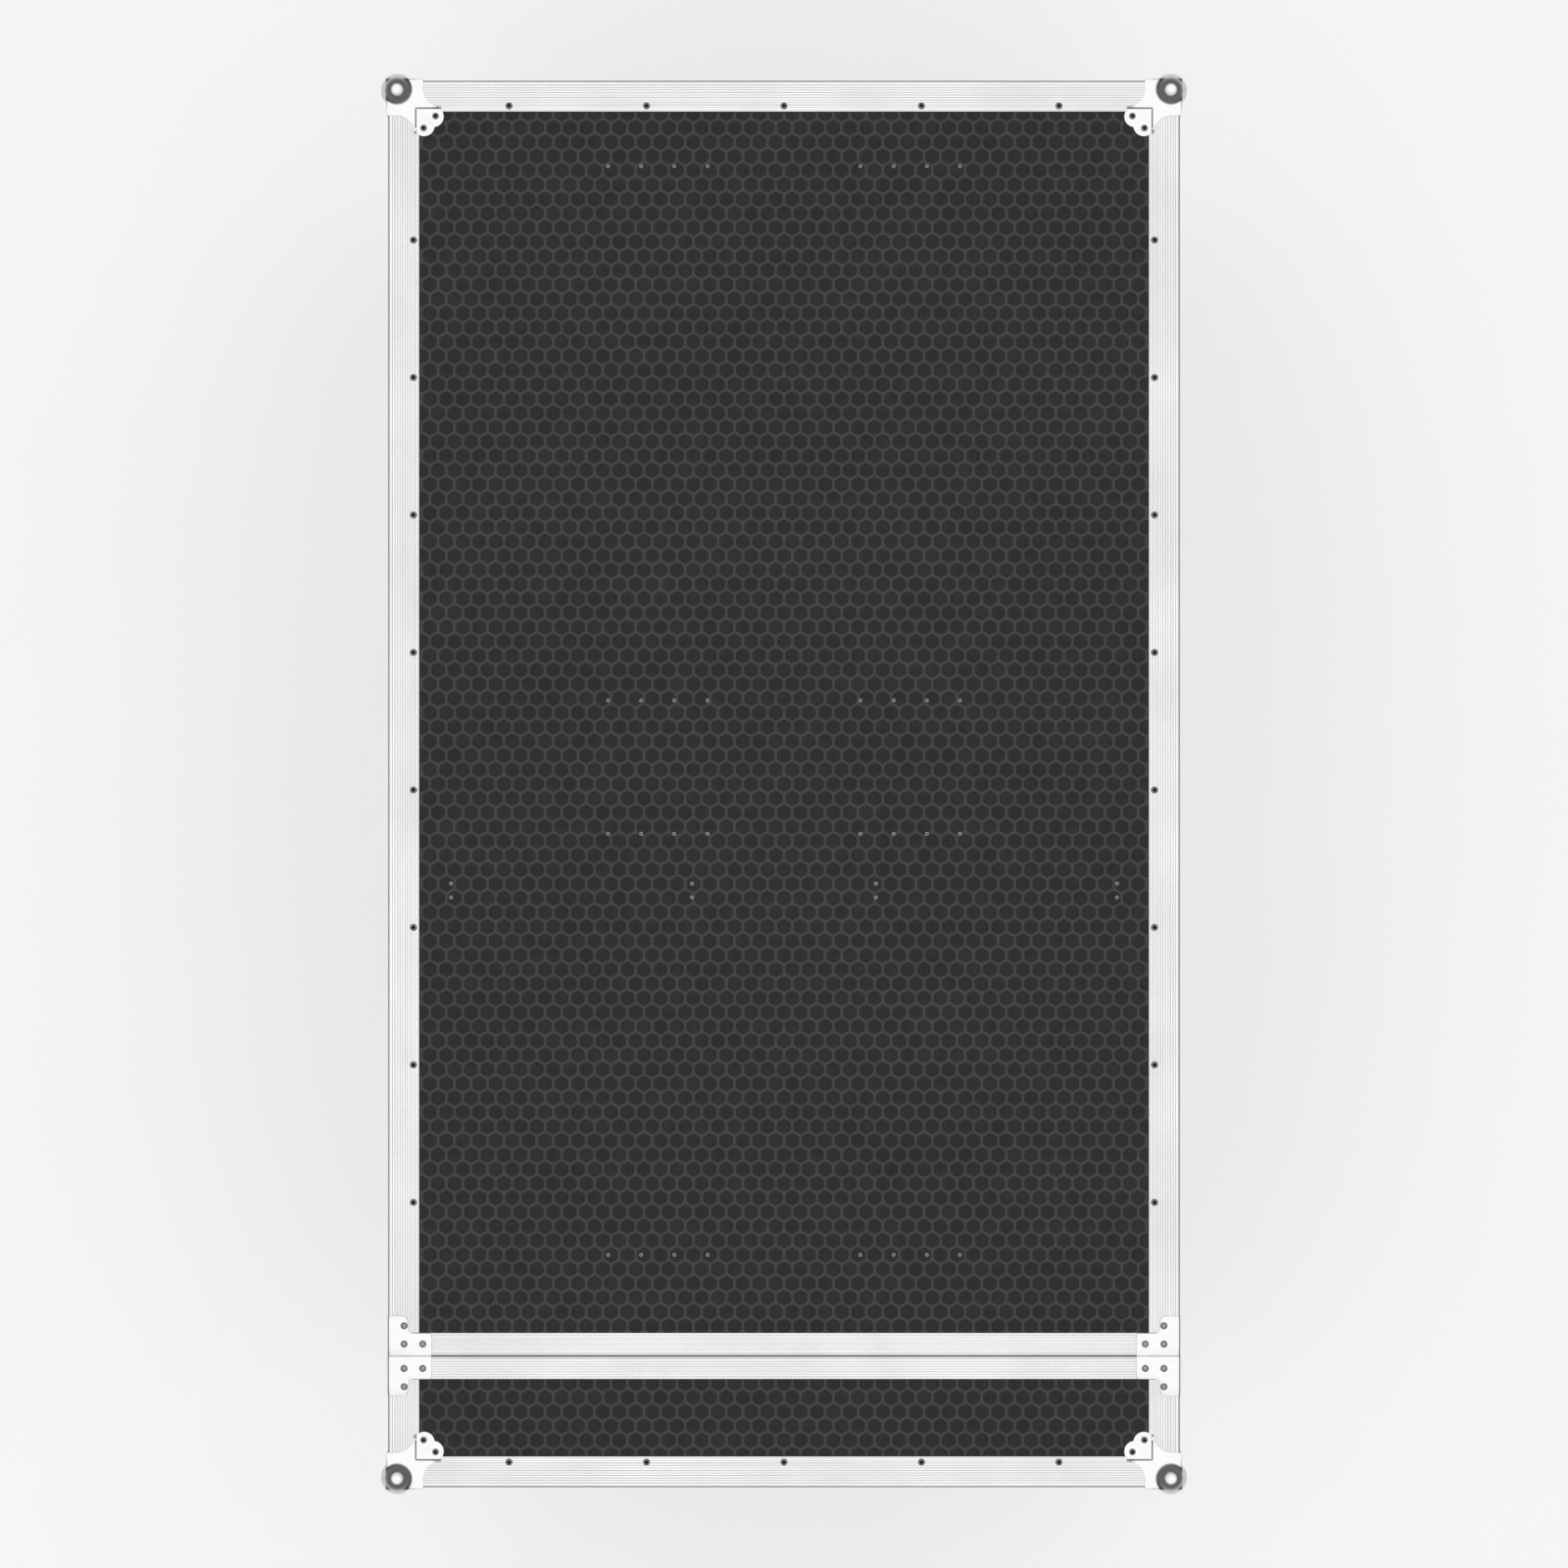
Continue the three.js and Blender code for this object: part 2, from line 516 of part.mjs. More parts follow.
// A dish that is open at the split: a flange with a tray behind it, on the given side of the split.
function splitDish(direction, length, trayLength) {
  const span = (a, b) => [direction * a, direction * b].sort((p, q) => p - q);
  const start = FIT_GAP / 2;
  const flange = block(flangeIn, flangeOut, ...span(start, length), -LATCH_HALF_WIDTH, LATCH_HALF_WIDTH);
  const halfOut = DISH_HALF_WIDTH + SHEET;
  const tray = block(-DISH_FLOOR - SHEET, flangeOut, ...span(start, trayLength + SHEET), -halfOut, halfOut);
  const hollow = block(-DISH_FLOOR, 1, ...span(-1, trayLength), -DISH_HALF_WIDTH, DISH_HALF_WIDTH);
  return cut(join([flange, tray]), [hollow]);
}

function latchDish() {
  const pin = prism("x", circle([PIVOT_Y, 0], PIVOT_RADIUS, 12), -DISH_FLOOR - SHEET / 2,
    wingOut + FIT_GAP + PIVOT_HEAD);
  const head = prism("x", circle([PIVOT_Y, 0], PIVOT_HEAD_RADIUS, 12), wingOut + FIT_GAP,
    wingOut + FIT_GAP + PIVOT_HEAD);
  return geometryOf(splitDish(1, LATCH_LENGTH, LATCH_DISH_LENGTH).add(solid(pin)).add(solid(head)));
}

function latchWing() {
  const blade = [
    [WING_WAIST, -WING_WAIST], [WING_HALF_LENGTH - 5, -WING_HALF_WIDTH],
    [WING_HALF_LENGTH, -WING_HALF_WIDTH + 6], [WING_HALF_LENGTH, WING_HALF_WIDTH - 6],
    [WING_HALF_LENGTH - 5, WING_HALF_WIDTH], [WING_WAIST, WING_WAIST],
  ];
  const outline = [...blade, ...blade.map(([a, b]) => [-a, -b])].map(([a, b]) => [PIVOT_Y + a, b]);
  const hole = circle([PIVOT_Y, 0], PIVOT_RADIUS + FIT_GAP, 12);
  return prism("x", outline, wingIn, wingOut, [hole]);
}

function latchHook() {
  const slotHalf = PIVOT_RADIUS + 2 * FIT_GAP;
  const slot = [
    ...arc([PIVOT_Y + HOOK_TRAVEL, 0], slotHalf, -90, 90, 4), ...arc([PIVOT_Y, 0], slotHalf, 90, 270, 4),
  ];
  const end = PIVOT_Y + HOOK_TRAVEL + 2 * slotHalf;
  const outline = rectangle(-HOOK_REACH, end, -HOOK_HALF_WIDTH, HOOK_HALF_WIDTH);
  return prism("x", outline, hookIn, hookIn + HOOK_THICKNESS, [slot]);
}

function keeper() {
  const { from, to, halfWidth, height } = KEEPER_BAR;
  const bar = block(-DISH_FLOOR - SHEET / 2, -DISH_FLOOR + height, -to, -from, -halfWidth, halfWidth);
  return geometryOf(splitDish(-1, KEEPER_LENGTH, KEEPER_DISH_LENGTH).add(solid(bar)));
}

function addLatches() {
  const parts = [
    ["latch_dish", latchDish()], ["latch_wing", latchWing()],
    ["latch_hook", latchHook()], ["keeper", keeper()],
  ];
  for (const [word, side] of [["left", -1], ["right", 1]])
    for (const [level, sideZ] of [["lower", -1], ["upper", 1]])
      for (const [name, geometry] of parts) {
        const piece = add(`${name}_${word}_${level}`, geometry, colours.zinc);
        piece.position.set(side * HALF_WIDTH, SPLIT_Y, MID_Z + sideZ * LATCH_OFFSET_Z);
        piece.scale.set(side, 1, 1);
      }
}

// ---- Handles ----
// Their frame has +X out of the case's face, with the handle's middle at its origin.

function handleDish() {
  const flange = prism("x", roundedRectangle(HANDLE_HALF_LENGTH, HANDLE_HALF_HEIGHT, FLANGE_ROUND),
    flangeIn, flangeOut);
  const tray = prism("x",
    roundedRectangle(TRAY_HALF_LENGTH + SHEET, TRAY_HALF_HEIGHT + SHEET, TRAY_ROUND + SHEET),
    -TRAY_FLOOR - SHEET, flangeOut);
  const hollow = prism("x", roundedRectangle(TRAY_HALF_LENGTH, TRAY_HALF_HEIGHT, TRAY_ROUND),
    -TRAY_FLOOR, 1);
  const lugSpan = [BAIL_PIVOT_Z - LUG.halfHeight, BAIL_PIVOT_Z + LUG.halfHeight];
  const lugs = [[LUG.from, LUG.to], [-LUG.to, -LUG.from]].map((span) =>
    block(-TRAY_FLOOR - SHEET / 2, -FIT_GAP, ...span, ...lugSpan));
  const bore = prism("y", circle([BAIL_PIVOT_Z, -BAIL_DEPTH], BAIL_ROD / 2 + FIT_GAP, 12),
    -TRAY_HALF_LENGTH, TRAY_HALF_LENGTH);
  const dish = cut(join([flange, tray]), [hollow]);
  return geometryOf(cut(lugs.map(solid).reduce((whole, lug) => whole.add(lug), dish), [bore]));
}

function handleBail() {
  const rod = BAIL_ROD / 2;
  const [out, inner] = [BAIL_HALF_LENGTH + rod, BAIL_HALF_LENGTH - rod];
  const high = BAIL_PIVOT_Z + rod;
  const axis = BAIL_PIVOT_Z - BAIL_DROP;
  const bend = 2 * BAIL_ROD;
  const outline = [
    [-out, high], [-out, axis - rod + bend], [-out + bend, axis - rod],
    [out - bend, axis - rod], [out, axis - rod + bend], [out, high],
    [inner, high], [inner, axis + rod + rod], [inner - rod, axis + rod],
    [-inner + rod, axis + rod], [-inner, axis + rod + rod], [-inner, high],
  ];
  const arch = prism("x", outline, -BAIL_DEPTH - rod, -BAIL_DEPTH + rod);
  const grip = prism("y", circle([axis, -BAIL_DEPTH], GRIP_RADIUS, 12), -GRIP_HALF_LENGTH, GRIP_HALF_LENGTH);
  const pins = [[inner, LUG.to], [-LUG.to, -inner]].map((span) =>
    prism("y", circle([BAIL_PIVOT_Z, -BAIL_DEPTH], rod, 12), ...span));
  return geometryOf(join([arch, grip, ...pins]));
}

function addHandles() {
  const parts = [["handle_dish", handleDish(), colours.zinc], ["handle_bail", handleBail(), colours.grip]];
  for (const [word, side] of [["left", -1], ["right", 1]])
    handlePlaces.forEach(([y, z], i) => {
      for (const [name, geometry, material] of parts) {
        const piece = add(`${name}_${word}_${["front", "back"][i]}`, geometry, material);
        piece.position.set(side * HALF_WIDTH, y, z);
        piece.scale.set(side, 1, 1);
      }
    });
}

// ---- Castors ----

const castorX = HALF_WIDTH - CASTOR_SIDE_INSET;
const castorRows = [["front", SPLIT_Y + CASTOR_FRONT_INSET], ["back", BACK_Y - CASTOR_BACK_INSET]];
const castorPlaces = castorRows.flatMap(([end, y]) =>
  [["left", -castorX], ["right", castorX]].map(([word, x]) => [`${end}_${word}`, x, y]));

// The board under the floor, with each castor's top plate, upper race and king bolt.
function castorBoard() {
  const tabEdge = LOBE.at[0] + LOBE.radius + 1;
  const z1 = CASE_BOTTOM + PROFILE_WALL;
  const board = block(-HALF_WIDTH + tabEdge, HALF_WIDTH - tabEdge,
    SPLIT_Y + RIM_LEG + FIT_GAP + 2, BACK_Y - tabEdge, z1 - CASTOR_BOARD, z1);
  const heads = castorPlaces.flatMap(([, x, y]) => [
    block(x - CASTOR_PLATE_HALF[0], x + CASTOR_PLATE_HALF[0], y - CASTOR_PLATE_HALF[1],
      y + CASTOR_PLATE_HALF[1], PLATE_Z, PLATE_Z + CASTOR_PLATE + 1),
    prism("z", circle([x, y], RACE_RADIUS, 18), RACE_Z, PLATE_Z + 1),
    prism("z", circle([x, y], KING_BOLT_RADIUS, 12), FORK_HEAD_Z - FIT_GAP, RACE_Z + 1),
    prism("z", circle([x, y], 1.7 * KING_BOLT_RADIUS, 6), FORK_HEAD_Z - FIT_GAP - 3, FORK_HEAD_Z - FIT_GAP),
  ]);
  return geometryOf(join([board, ...heads]));
}

// The fork's frame has the swivel's axis as its Z axis and the floor at its foot.
function castorFork() {
  const headTop = FORK_HEAD_Z + FORK_HEAD;
  const footRadius = 2 * AXLE_RADIUS;
  const leg = [
    [-20, headTop], [-20, FORK_HEAD_Z - 8], ...arc([TRAIL, AXLE_Z], footRadius, 200, 360, 6),
    [TRAIL + footRadius, AXLE_Z + 20], [24, headTop],
  ];
  const legs = [[-FORK_OUT, -FORK_IN], [FORK_IN, FORK_OUT]].map((span) => prism("x", leg, ...span));
  const head = prism("z", circle([0, 0], FORK_HEAD_RADIUS, 20), FORK_HEAD_Z, headTop,
    [circle([0, 0], KING_BOLT_RADIUS + FIT_GAP, 12)]);
  const axle = prism("x", circle([TRAIL, AXLE_Z], AXLE_RADIUS, 12), -FORK_OUT - 1, FORK_OUT + 1);
  const nuts = [[-FORK_OUT - 6, -FORK_OUT + 1], [FORK_OUT - 1, FORK_OUT + 6]].map((span) =>
    prism("x", circle([TRAIL, AXLE_Z], 1.6 * AXLE_RADIUS, 6), ...span));
  return geometryOf(join([head, ...legs, axle, ...nuts]));
}

// A wheel about the X axis: a hub, a web and a tyre with rounded shoulders.
function castorWheel() {
  const [hub, half] = [HUB_WIDTH / 2, WHEEL_WIDTH / 2];
  const bore = AXLE_RADIUS + 1.5 * FIT_GAP;
  const side = [
    [bore, hub], [HUB_RADIUS, hub], [HUB_RADIUS, half - 6], [WHEEL_RADIUS - 13, half - 6],
    [WHEEL_RADIUS - 11, half], [WHEEL_RADIUS - 4, half], [WHEEL_RADIUS, half - 5],
  ];
  const profile = [...side.map(([r, y]) => new THREE.Vector2(r, -y)),
    ...side.slice().reverse().map(([r, y]) => new THREE.Vector2(r, y))];
  const wheel = new THREE.LatheGeometry([...profile, profile[0]], WHEEL_SIDES);
  return wheel.rotateZ(-Math.PI / 2).rotateX(Math.PI / WHEEL_SIDES);
}

function addCastors() {
  add("castor_board", castorBoard(), colours.plywood);
  const [fork, wheel] = [castorFork(), castorWheel()];
  for (const [name, x, y] of castorPlaces) {
    add(`castor_fork_${name}`, fork, colours.zinc).position.set(x, y, 0);
    add(`castor_wheel_${name}`, wheel, colours.tyre).position.set(x, y + TRAIL, AXLE_Z);
  }
}

addBoards();
addFrames();
addBallCorners();
addLatches();
addHandles();
addCastors();

export default flightCase;
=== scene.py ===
import json
import math

import bmesh
import bpy
import numpy as np
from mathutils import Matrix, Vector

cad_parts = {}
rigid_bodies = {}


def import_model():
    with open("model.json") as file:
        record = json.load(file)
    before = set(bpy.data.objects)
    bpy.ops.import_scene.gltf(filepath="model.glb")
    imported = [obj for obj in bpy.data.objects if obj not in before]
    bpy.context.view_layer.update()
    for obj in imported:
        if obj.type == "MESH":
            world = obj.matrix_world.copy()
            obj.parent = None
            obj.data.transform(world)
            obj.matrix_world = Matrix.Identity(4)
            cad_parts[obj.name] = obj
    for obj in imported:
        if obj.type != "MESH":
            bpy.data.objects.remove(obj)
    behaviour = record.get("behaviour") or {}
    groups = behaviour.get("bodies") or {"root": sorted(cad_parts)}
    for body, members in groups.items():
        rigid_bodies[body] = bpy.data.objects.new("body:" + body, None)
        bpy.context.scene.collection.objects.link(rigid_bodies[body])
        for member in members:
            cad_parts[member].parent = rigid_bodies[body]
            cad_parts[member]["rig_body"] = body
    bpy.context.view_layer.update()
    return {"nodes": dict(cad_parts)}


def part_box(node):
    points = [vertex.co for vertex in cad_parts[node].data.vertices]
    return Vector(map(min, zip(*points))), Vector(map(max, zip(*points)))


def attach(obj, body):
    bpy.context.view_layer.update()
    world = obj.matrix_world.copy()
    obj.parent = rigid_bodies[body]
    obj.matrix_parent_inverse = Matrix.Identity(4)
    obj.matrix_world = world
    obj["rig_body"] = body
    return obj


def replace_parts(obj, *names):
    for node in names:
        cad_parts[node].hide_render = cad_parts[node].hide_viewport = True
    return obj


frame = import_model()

# ---- Boards ----
# Each board is birch plywood pressed between dark phenolic films. The outer film has rows of low
# hexagonal pads, in line over the whole case, and the inner film is smooth. The boards slide into
# the channels of the edge profiles, and openings are sawn in the side boards for the dishes.

frame_low, frame_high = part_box("back_edge_frame")
side_x, back_y, top_z = frame_high
bottom_z = frame_low[2]
front_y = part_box("lid_edge_frame")[0][1]
seat_gap = 0.00015
split_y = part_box("body_rim")[0][1] - seat_gap
middle_z = (top_z + bottom_z) / 2
ends = ("front", "back")
sides = {"left": -1, "right": 1}
levels = {"lower": -1, "upper": 1}
edge_levels = {"bottom": -1, "top": 1}


def joined(shapes):
    """One shape from several: points are stacked, and each polygon's indices move up to match."""
    points, polygons, first = [], [], 0
    for part, faces in shapes:
        points.append(part)
        polygons += [face + first for face in faces]
        first += len(part)
    return np.concatenate(points), polygons


def placed(shape, origin, axes):
    """A shape from a local frame: origin + x*axes[0] + y*axes[1] + z*axes[2], facing outward."""
    points, polygons = shape
    axes = np.array(axes, float)
    mirrored = np.linalg.det(axes) < 0
    return points @ axes + np.array(origin), [
        face[:, ::-1] if mirrored else face for face in polygons]


def new_piece(name, shape, material, body, slot, smooth=30, closed=True, **attributes):
    """A mesh object at the origin, with one value or vector a point for each named attribute.

    Corners flatter than the smooth angle are shaded smooth. The shells of a closed piece have their
    normals turned outward.
    """
    points, polygons = shape
    corners = np.concatenate([face.ravel() for face in polygons])
    sizes = np.concatenate([np.full(len(face), face.shape[1]) for face in polygons])
    used, corners = np.unique(corners, return_inverse=True)
    mesh = bpy.data.meshes.new(name)
    mesh.vertices.add(len(used))
    mesh.vertices.foreach_set("co", points[used].astype(np.float32).ravel())
    mesh.loops.add(len(corners))
    mesh.loops.foreach_set("vertex_index", corners.astype(np.int32).ravel())
    mesh.polygons.add(len(sizes))
    mesh.polygons.foreach_set("loop_start", (np.cumsum(sizes) - sizes).astype(np.int32))
    mesh.update(calc_edges=True)
    for title, values in attributes.items():
        kind, field = ("FLOAT", "value") if values.ndim == 1 else ("FLOAT_VECTOR", "vector")
        layer = mesh.attributes.new(title, kind, "POINT")
        layer.data.foreach_set(field, values[used].astype(np.float32).ravel())
    work = bmesh.new()
    work.from_mesh(mesh)
    bmesh.ops.remove_doubles(work, verts=work.verts, dist=2e-6)
    if closed:
        bmesh.ops.recalc_face_normals(work, faces=work.faces)
    work.to_mesh(mesh)
    work.free()
    mesh.shade_smooth()
    mesh.set_sharp_from_angle(angle=math.radians(smooth))
    mesh.materials.append(material)
    piece = bpy.data.objects.new(name, mesh)
    bpy.context.scene.collection.objects.link(piece)
    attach(piece, body)
    return piece


def new_material(name, **values):
    """A material with its even values set on the shader's own sockets."""
    material = bpy.data.materials.new(name)
    material.use_nodes = True
    shader = material.node_tree.nodes["Principled BSDF"]
    for socket, value in values.items():
        shader.inputs[socket.replace("_", " ")].default_value = value
    return material, material.node_tree, shader


def node(tree, kind, inputs=(), **settings):
    """A shader node with its settings, and each input set to a value or linked from a socket."""
    made = tree.nodes.new("ShaderNode" + kind)
    for key, value in settings.items():
        setattr(made, key, value)
    for key, value in dict(inputs).items():
        if isinstance(value, bpy.types.NodeSocket):
            tree.links.new(value, made.inputs[key])
        else:
            made.inputs[key].default_value = value
    return made


def noise(tree, vector, scale, detail=4.0, roughness=0.55):
    """A noise value from 0 to 1, with its vector stretched by a scale of one or three numbers."""
    scales = scale if isinstance(scale, tuple) else (scale, scale, scale)
    stretched = node(tree, "Mapping", {"Vector": vector, "Scale": scales}).outputs["Vector"]
    inputs = {"Vector": stretched, "Scale": 1.0, "Detail": detail, "Roughness": roughness}
    return node(tree, "TexNoise", inputs).outputs["Fac"]


def span(tree, value, low, high, to_low, to_high):
    """A value from low to high, carried smoothly to the range from to_low to to_high."""
    inputs = {"Value": value, 1: low, 2: high, 3: to_low, 4: to_high}
    return node(tree, "MapRange", inputs, interpolation_type="SMOOTHSTEP").outputs["Result"]


def blended(tree, share, first, second):
    """A colour between two others, each a socket or an RGB triple."""
    colours = [c if isinstance(c, bpy.types.NodeSocket) else (*c, 1.0) for c in (first, second)]
    made = node(tree, "Mix", {0: share, 6: colours[0], 7: colours[1]}, data_type="RGBA")
    return made.outputs[2]


def relief(tree, shader, height, distance, strength=1.0):
    """A bump of this depth, in metres, on the shader's normal."""
    made = node(tree, "Bump", {"Height": height, "Distance": distance, "Strength": strength})
    tree.links.new(made.outputs["Normal"], shader.inputs["Normal"])


def film_finish():
    """Dark film: pads a little darker than the ground between them, fine grain and faint scuffs."""
    material, tree, shader = new_material("hexagon_film", Specular_IOR_Level=0.22)
    place = node(tree, "TexCoord").outputs["Object"]
    pad = node(tree, "Attribute", attribute_name="pad").outputs["Fac"]
    cloud = noise(tree, place, 7.0, 5.0)
    ground = blended(tree, cloud, (0.078, 0.078, 0.0785), (0.096, 0.096, 0.0965))
    top = blended(tree, cloud, (0.024, 0.024, 0.0242), (0.034, 0.034, 0.0344))
    grit = span(tree, noise(tree, place, 650.0, 4.0, 0.7), 0.35, 0.65, 0.0, 0.28)
    colour = blended(tree, grit, blended(tree, pad, ground, top), (0.050, 0.050, 0.0503))
    scuff = span(tree, noise(tree, place, (30.0, 260.0, 90.0), 6.0, 0.7), 0.66, 0.80, 0.0, 0.35)
    tree.links.new(blended(tree, scuff, colour, (0.16, 0.16, 0.16)), shader.inputs["Base Color"])
    gloss = noise(tree, place, 55.0, 4.0)
    tree.links.new(span(tree, gloss, 0.3, 0.7, 0.42, 0.60), shader.inputs["Roughness"])
    relief(tree, shader, noise(tree, place, 1400.0, 3.0), 0.00003)
    return material


film = film_finish()
pad_pitch = 0.01581
pad_width = 0.0131
pad_height = 0.00035
pad_slope = 0.0005
pad_corner = 0.0024
pad_phase_y = 0.60235
pad_sides = 12
hidden_edge = 0.024


def hexagon_pads(low, high, gaps, phase):
    """Low pads on a hexagonal lattice, in the plane z = 0.

    Each pad is a hexagon with its corners cut, as two rings of twelve points: a foot, and a top
    that is smaller by the slope and higher by the pad's height. Pads inside a gap are left out.
    """
    row = pad_pitch * math.sqrt(3) / 2
    steps = np.array([pad_pitch, row])
    first = np.floor((low - phase) / steps).astype(int)
    last = np.ceil((high - phase) / steps).astype(int) + 1
    jj, ii = np.meshgrid(np.arange(first[1], last[1]), np.arange(first[0], last[0]), indexing="ij")
    x = phase[0] + (ii + (jj % 2) / 2) * pad_pitch
    y = phase[1] + jj * row
    centres = np.stack([x.ravel(), y.ravel()], axis=1)
    inside = (centres > low).all(axis=1) & (centres < high).all(axis=1)
    for gap_low, gap_high in gaps:
        reach = pad_width * 0.62
        inside &= ~((centres > gap_low - reach).all(axis=1)
                    & (centres < gap_high + reach).all(axis=1))
    centres = centres[inside]
    corner = pad_width / math.sqrt(3)
    turn = np.radians(60 * np.arange(6) + 30)
    tips = corner * np.stack([np.cos(turn), np.sin(turn)], axis=1)
    towards_last = (np.roll(tips, 1, axis=0) - tips) * (pad_corner / 2 / corner)
    towards_next = (np.roll(tips, -1, axis=0) - tips) * (pad_corner / 2 / corner)
    ring = np.stack([tips + towards_last, tips + towards_next], axis=1).reshape(pad_sides, 2)
    shrink = 1 - 2 * pad_slope / pad_width
    foot = centres[:, None] + ring
    top = centres[:, None] + ring * shrink
    points = np.concatenate([
        np.concatenate([foot, np.full((*foot.shape[:2], 1), -pad_height / 4)], axis=2),
        np.concatenate([top, np.full((*top.shape[:2], 1), pad_height)], axis=2),
    ], axis=1)
    start = 2 * pad_sides * np.arange(len(centres))[:, None]
    k = np.arange(pad_sides)
    ahead = (k + 1) % pad_sides
    slope = np.stack([k, ahead, pad_sides + ahead, pad_sides + k], axis=1)
    slopes = (start[:, None] + slope).reshape(-1, 4)
    return points.reshape(-1, 3), [slopes, start + pad_sides + k, start + k[::-1]]


def sawn_board(low, high, thickness, gaps):
    """A board in the plane z = 0 with square openings, as the cells between its cuts.

    Cells inside an opening are left out, and a wall stands wherever a kept cell meets none.
    """
    cuts = [np.unique([low[k], high[k],
                       *[np.clip(g[k], low[k], high[k]) for gap in gaps for g in gap]])
            for k in (0, 1)]
    middles = [(c[1:] + c[:-1]) / 2 for c in cuts]
    x, y = np.meshgrid(*middles, indexing="ij")
    kept = np.ones(x.shape, bool)
    for gap_low, gap_high in gaps:
        kept &= ~((x > gap_low[0]) & (x < gap_high[0]) & (y > gap_low[1]) & (y < gap_high[1]))
    px, py = np.meshgrid(*cuts, indexing="ij")
    top = np.stack([px, py, np.zeros_like(px)], axis=-1)
    points = np.concatenate([top.reshape(-1, 3), (top - [0, 0, thickness]).reshape(-1, 3)])
    index = np.arange(px.size).reshape(px.shape)
    i, j = np.nonzero(kept)
    face = np.stack([index[i, j], index[i + 1, j], index[i + 1, j + 1], index[i, j + 1]], axis=1)
    ring = np.pad(kept, 1)
    quads = [face, face[:, ::-1] + px.size]
    for changed, (di, dj) in [(ring[1:, 1:-1] != ring[:-1, 1:-1], (0, 1)),
                              (ring[1:-1, 1:] != ring[1:-1, :-1], (1, 0))]:
        i, j = np.nonzero(changed)
        first, second = index[i, j], index[i + di, j + dj]
        quads.append(np.stack([first, second, second + px.size, first + px.size], axis=1))
    return points, quads


tray_half = np.array([0.0672, 0.0432])
latch_tray = (0.0712, 0.0352, 0.0432)


def dish_openings(node_name, side):
    """The openings sawn in a side board, in Y and Z: notches for the latches, two handle wells."""
    gaps = []
    for level in levels:
        low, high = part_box(f"latch_dish_{side}_{level}")
        z = (low[2] + high[2]) / 2
        gaps.append((np.array([split_y - latch_tray[1], z - latch_tray[2]]),
                     np.array([split_y + latch_tray[0], z + latch_tray[2]])))
    if node_name.startswith("lid"):
        return gaps
    for end in ends:
        low, high = np.array(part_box(f"handle_dish_{side}_{end}"))
        centre = ((low + high) / 2)[1:]
        gaps.append((centre - tray_half, centre + tray_half))
    return gaps


def make_board(node_name, across, outward):
    """A board with pads on the outer face that its axis (0, 1 or 2) and sign give."""
    low, high = np.array(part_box(node_name))
    plane = [k for k in range(3) if k != across]
    outer, inner = (high[across], low[across]) if outward > 0 else (low[across], high[across])
    side = "right" if outward > 0 else "left"
    gaps = dish_openings(node_name, side) if across == 0 else []
    covered = gaps
    if node_name == "floor_board":
        board_low, board_high = np.array(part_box("castor_board"))
        covered = [(board_low[:2] + pad_pitch, board_high[:2] - pad_pitch)]
    phase = np.array([0.0, pad_phase_y if across == 2 else middle_z])
    shown_low = np.maximum(low[plane], np.array([-side_x, front_y, bottom_z])[plane] + hidden_edge)
    shown_high = np.minimum(high[plane], np.array([side_x, back_y, top_z])[plane] - hidden_edge)
    board = sawn_board(low[plane], high[plane], abs(outer - inner) - pad_height, gaps)
    pads = hexagon_pads(shown_low, shown_high, covered, phase)
    pad = np.concatenate([np.zeros(len(board[0])), np.ones(len(pads[0]))])
    axes = np.eye(3)[[*plane, across]]
    axes[2] *= outward
    origin = np.eye(3)[across] * outer - axes[2] * pad_height
    shape = placed(joined([board, pads]), origin, axes)
    body = "lid" if node_name.startswith("lid") else "case"
    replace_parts(new_piece(node_name + "_film", shape, film, body, "film_faced_board", pad=pad), node_name)


for name, across, outward in [
    ("top_board", 2, 1), ("floor_board", 2, -1), ("back_board", 1, 1), ("lid_front_board", 1, -1),
    ("left_board", 0, -1), ("right_board", 0, 1),
    ("lid_top_board", 2, 1), ("lid_floor_board", 2, -1),
    ("lid_left_board", 0, -1), ("lid_right_board", 0, 1),
]:
    make_board(name, across, outward)

# ---- Edge profiles ----
# Extruded aluminium in a double-angle section: two outer legs over the edge of the case and a
# channel for each of the two boards. The outer faces have fine drawn lines. The legs are
# notched where the tabs of the ball corners step down to the boards.

wall = 0.0015
leg = 0.030
inner_leg = 0.028
channel = 0.0113
web = 0.0128
corner_radius = 0.002
leg_round = 0.0004
line_pitch = 0.0024
line_width = 0.00045
line_depth = 0.00012
notch = 0.0257
notch_end = 0.0511
mitre_gap = 0.0003
lid_bar_gap = 0.02245


def grid(points, wrap=False, caps=False):
    """Quads between neighbouring points[i, j].

    With wrap, each row of points closes on itself. With caps, the first and last rows are filled.
    """
    rows, columns = points.shape[:2]
    index = np.arange(rows * columns).reshape(rows, columns)
    full = np.concatenate([index, index[:, :1]], axis=1) if wrap else index
    quads = np.stack([full[:-1, :-1], full[:-1, 1:], full[1:, 1:], full[1:, :-1]], axis=-1)
    faces = [quads.reshape(-1, 4)]
    if caps:
        faces += [index[:1, ::-1], index[-1:]]
    return points.reshape(-1, 3), faces


def drawn_face(start, end):
    """Points along one outer face from start to end, with a shallow V at each drawn line."""
    middle = np.arange(start + line_pitch, end - line_width, line_pitch)
    along = (middle[:, None] + np.array([-1, 0, 1]) * line_width / 2).ravel()
    depth = np.tile([0.0, line_depth, 0.0], len(middle))
    return np.stack([along, depth], axis=1)


def round_points(centre, radius, start, end, count):
    """Points on an arc, with its angles in degrees."""
    turn = np.radians(np.linspace(start, end, count))
    return np.array(centre) + radius * np.stack([np.cos(turn), np.sin(turn)], axis=1)


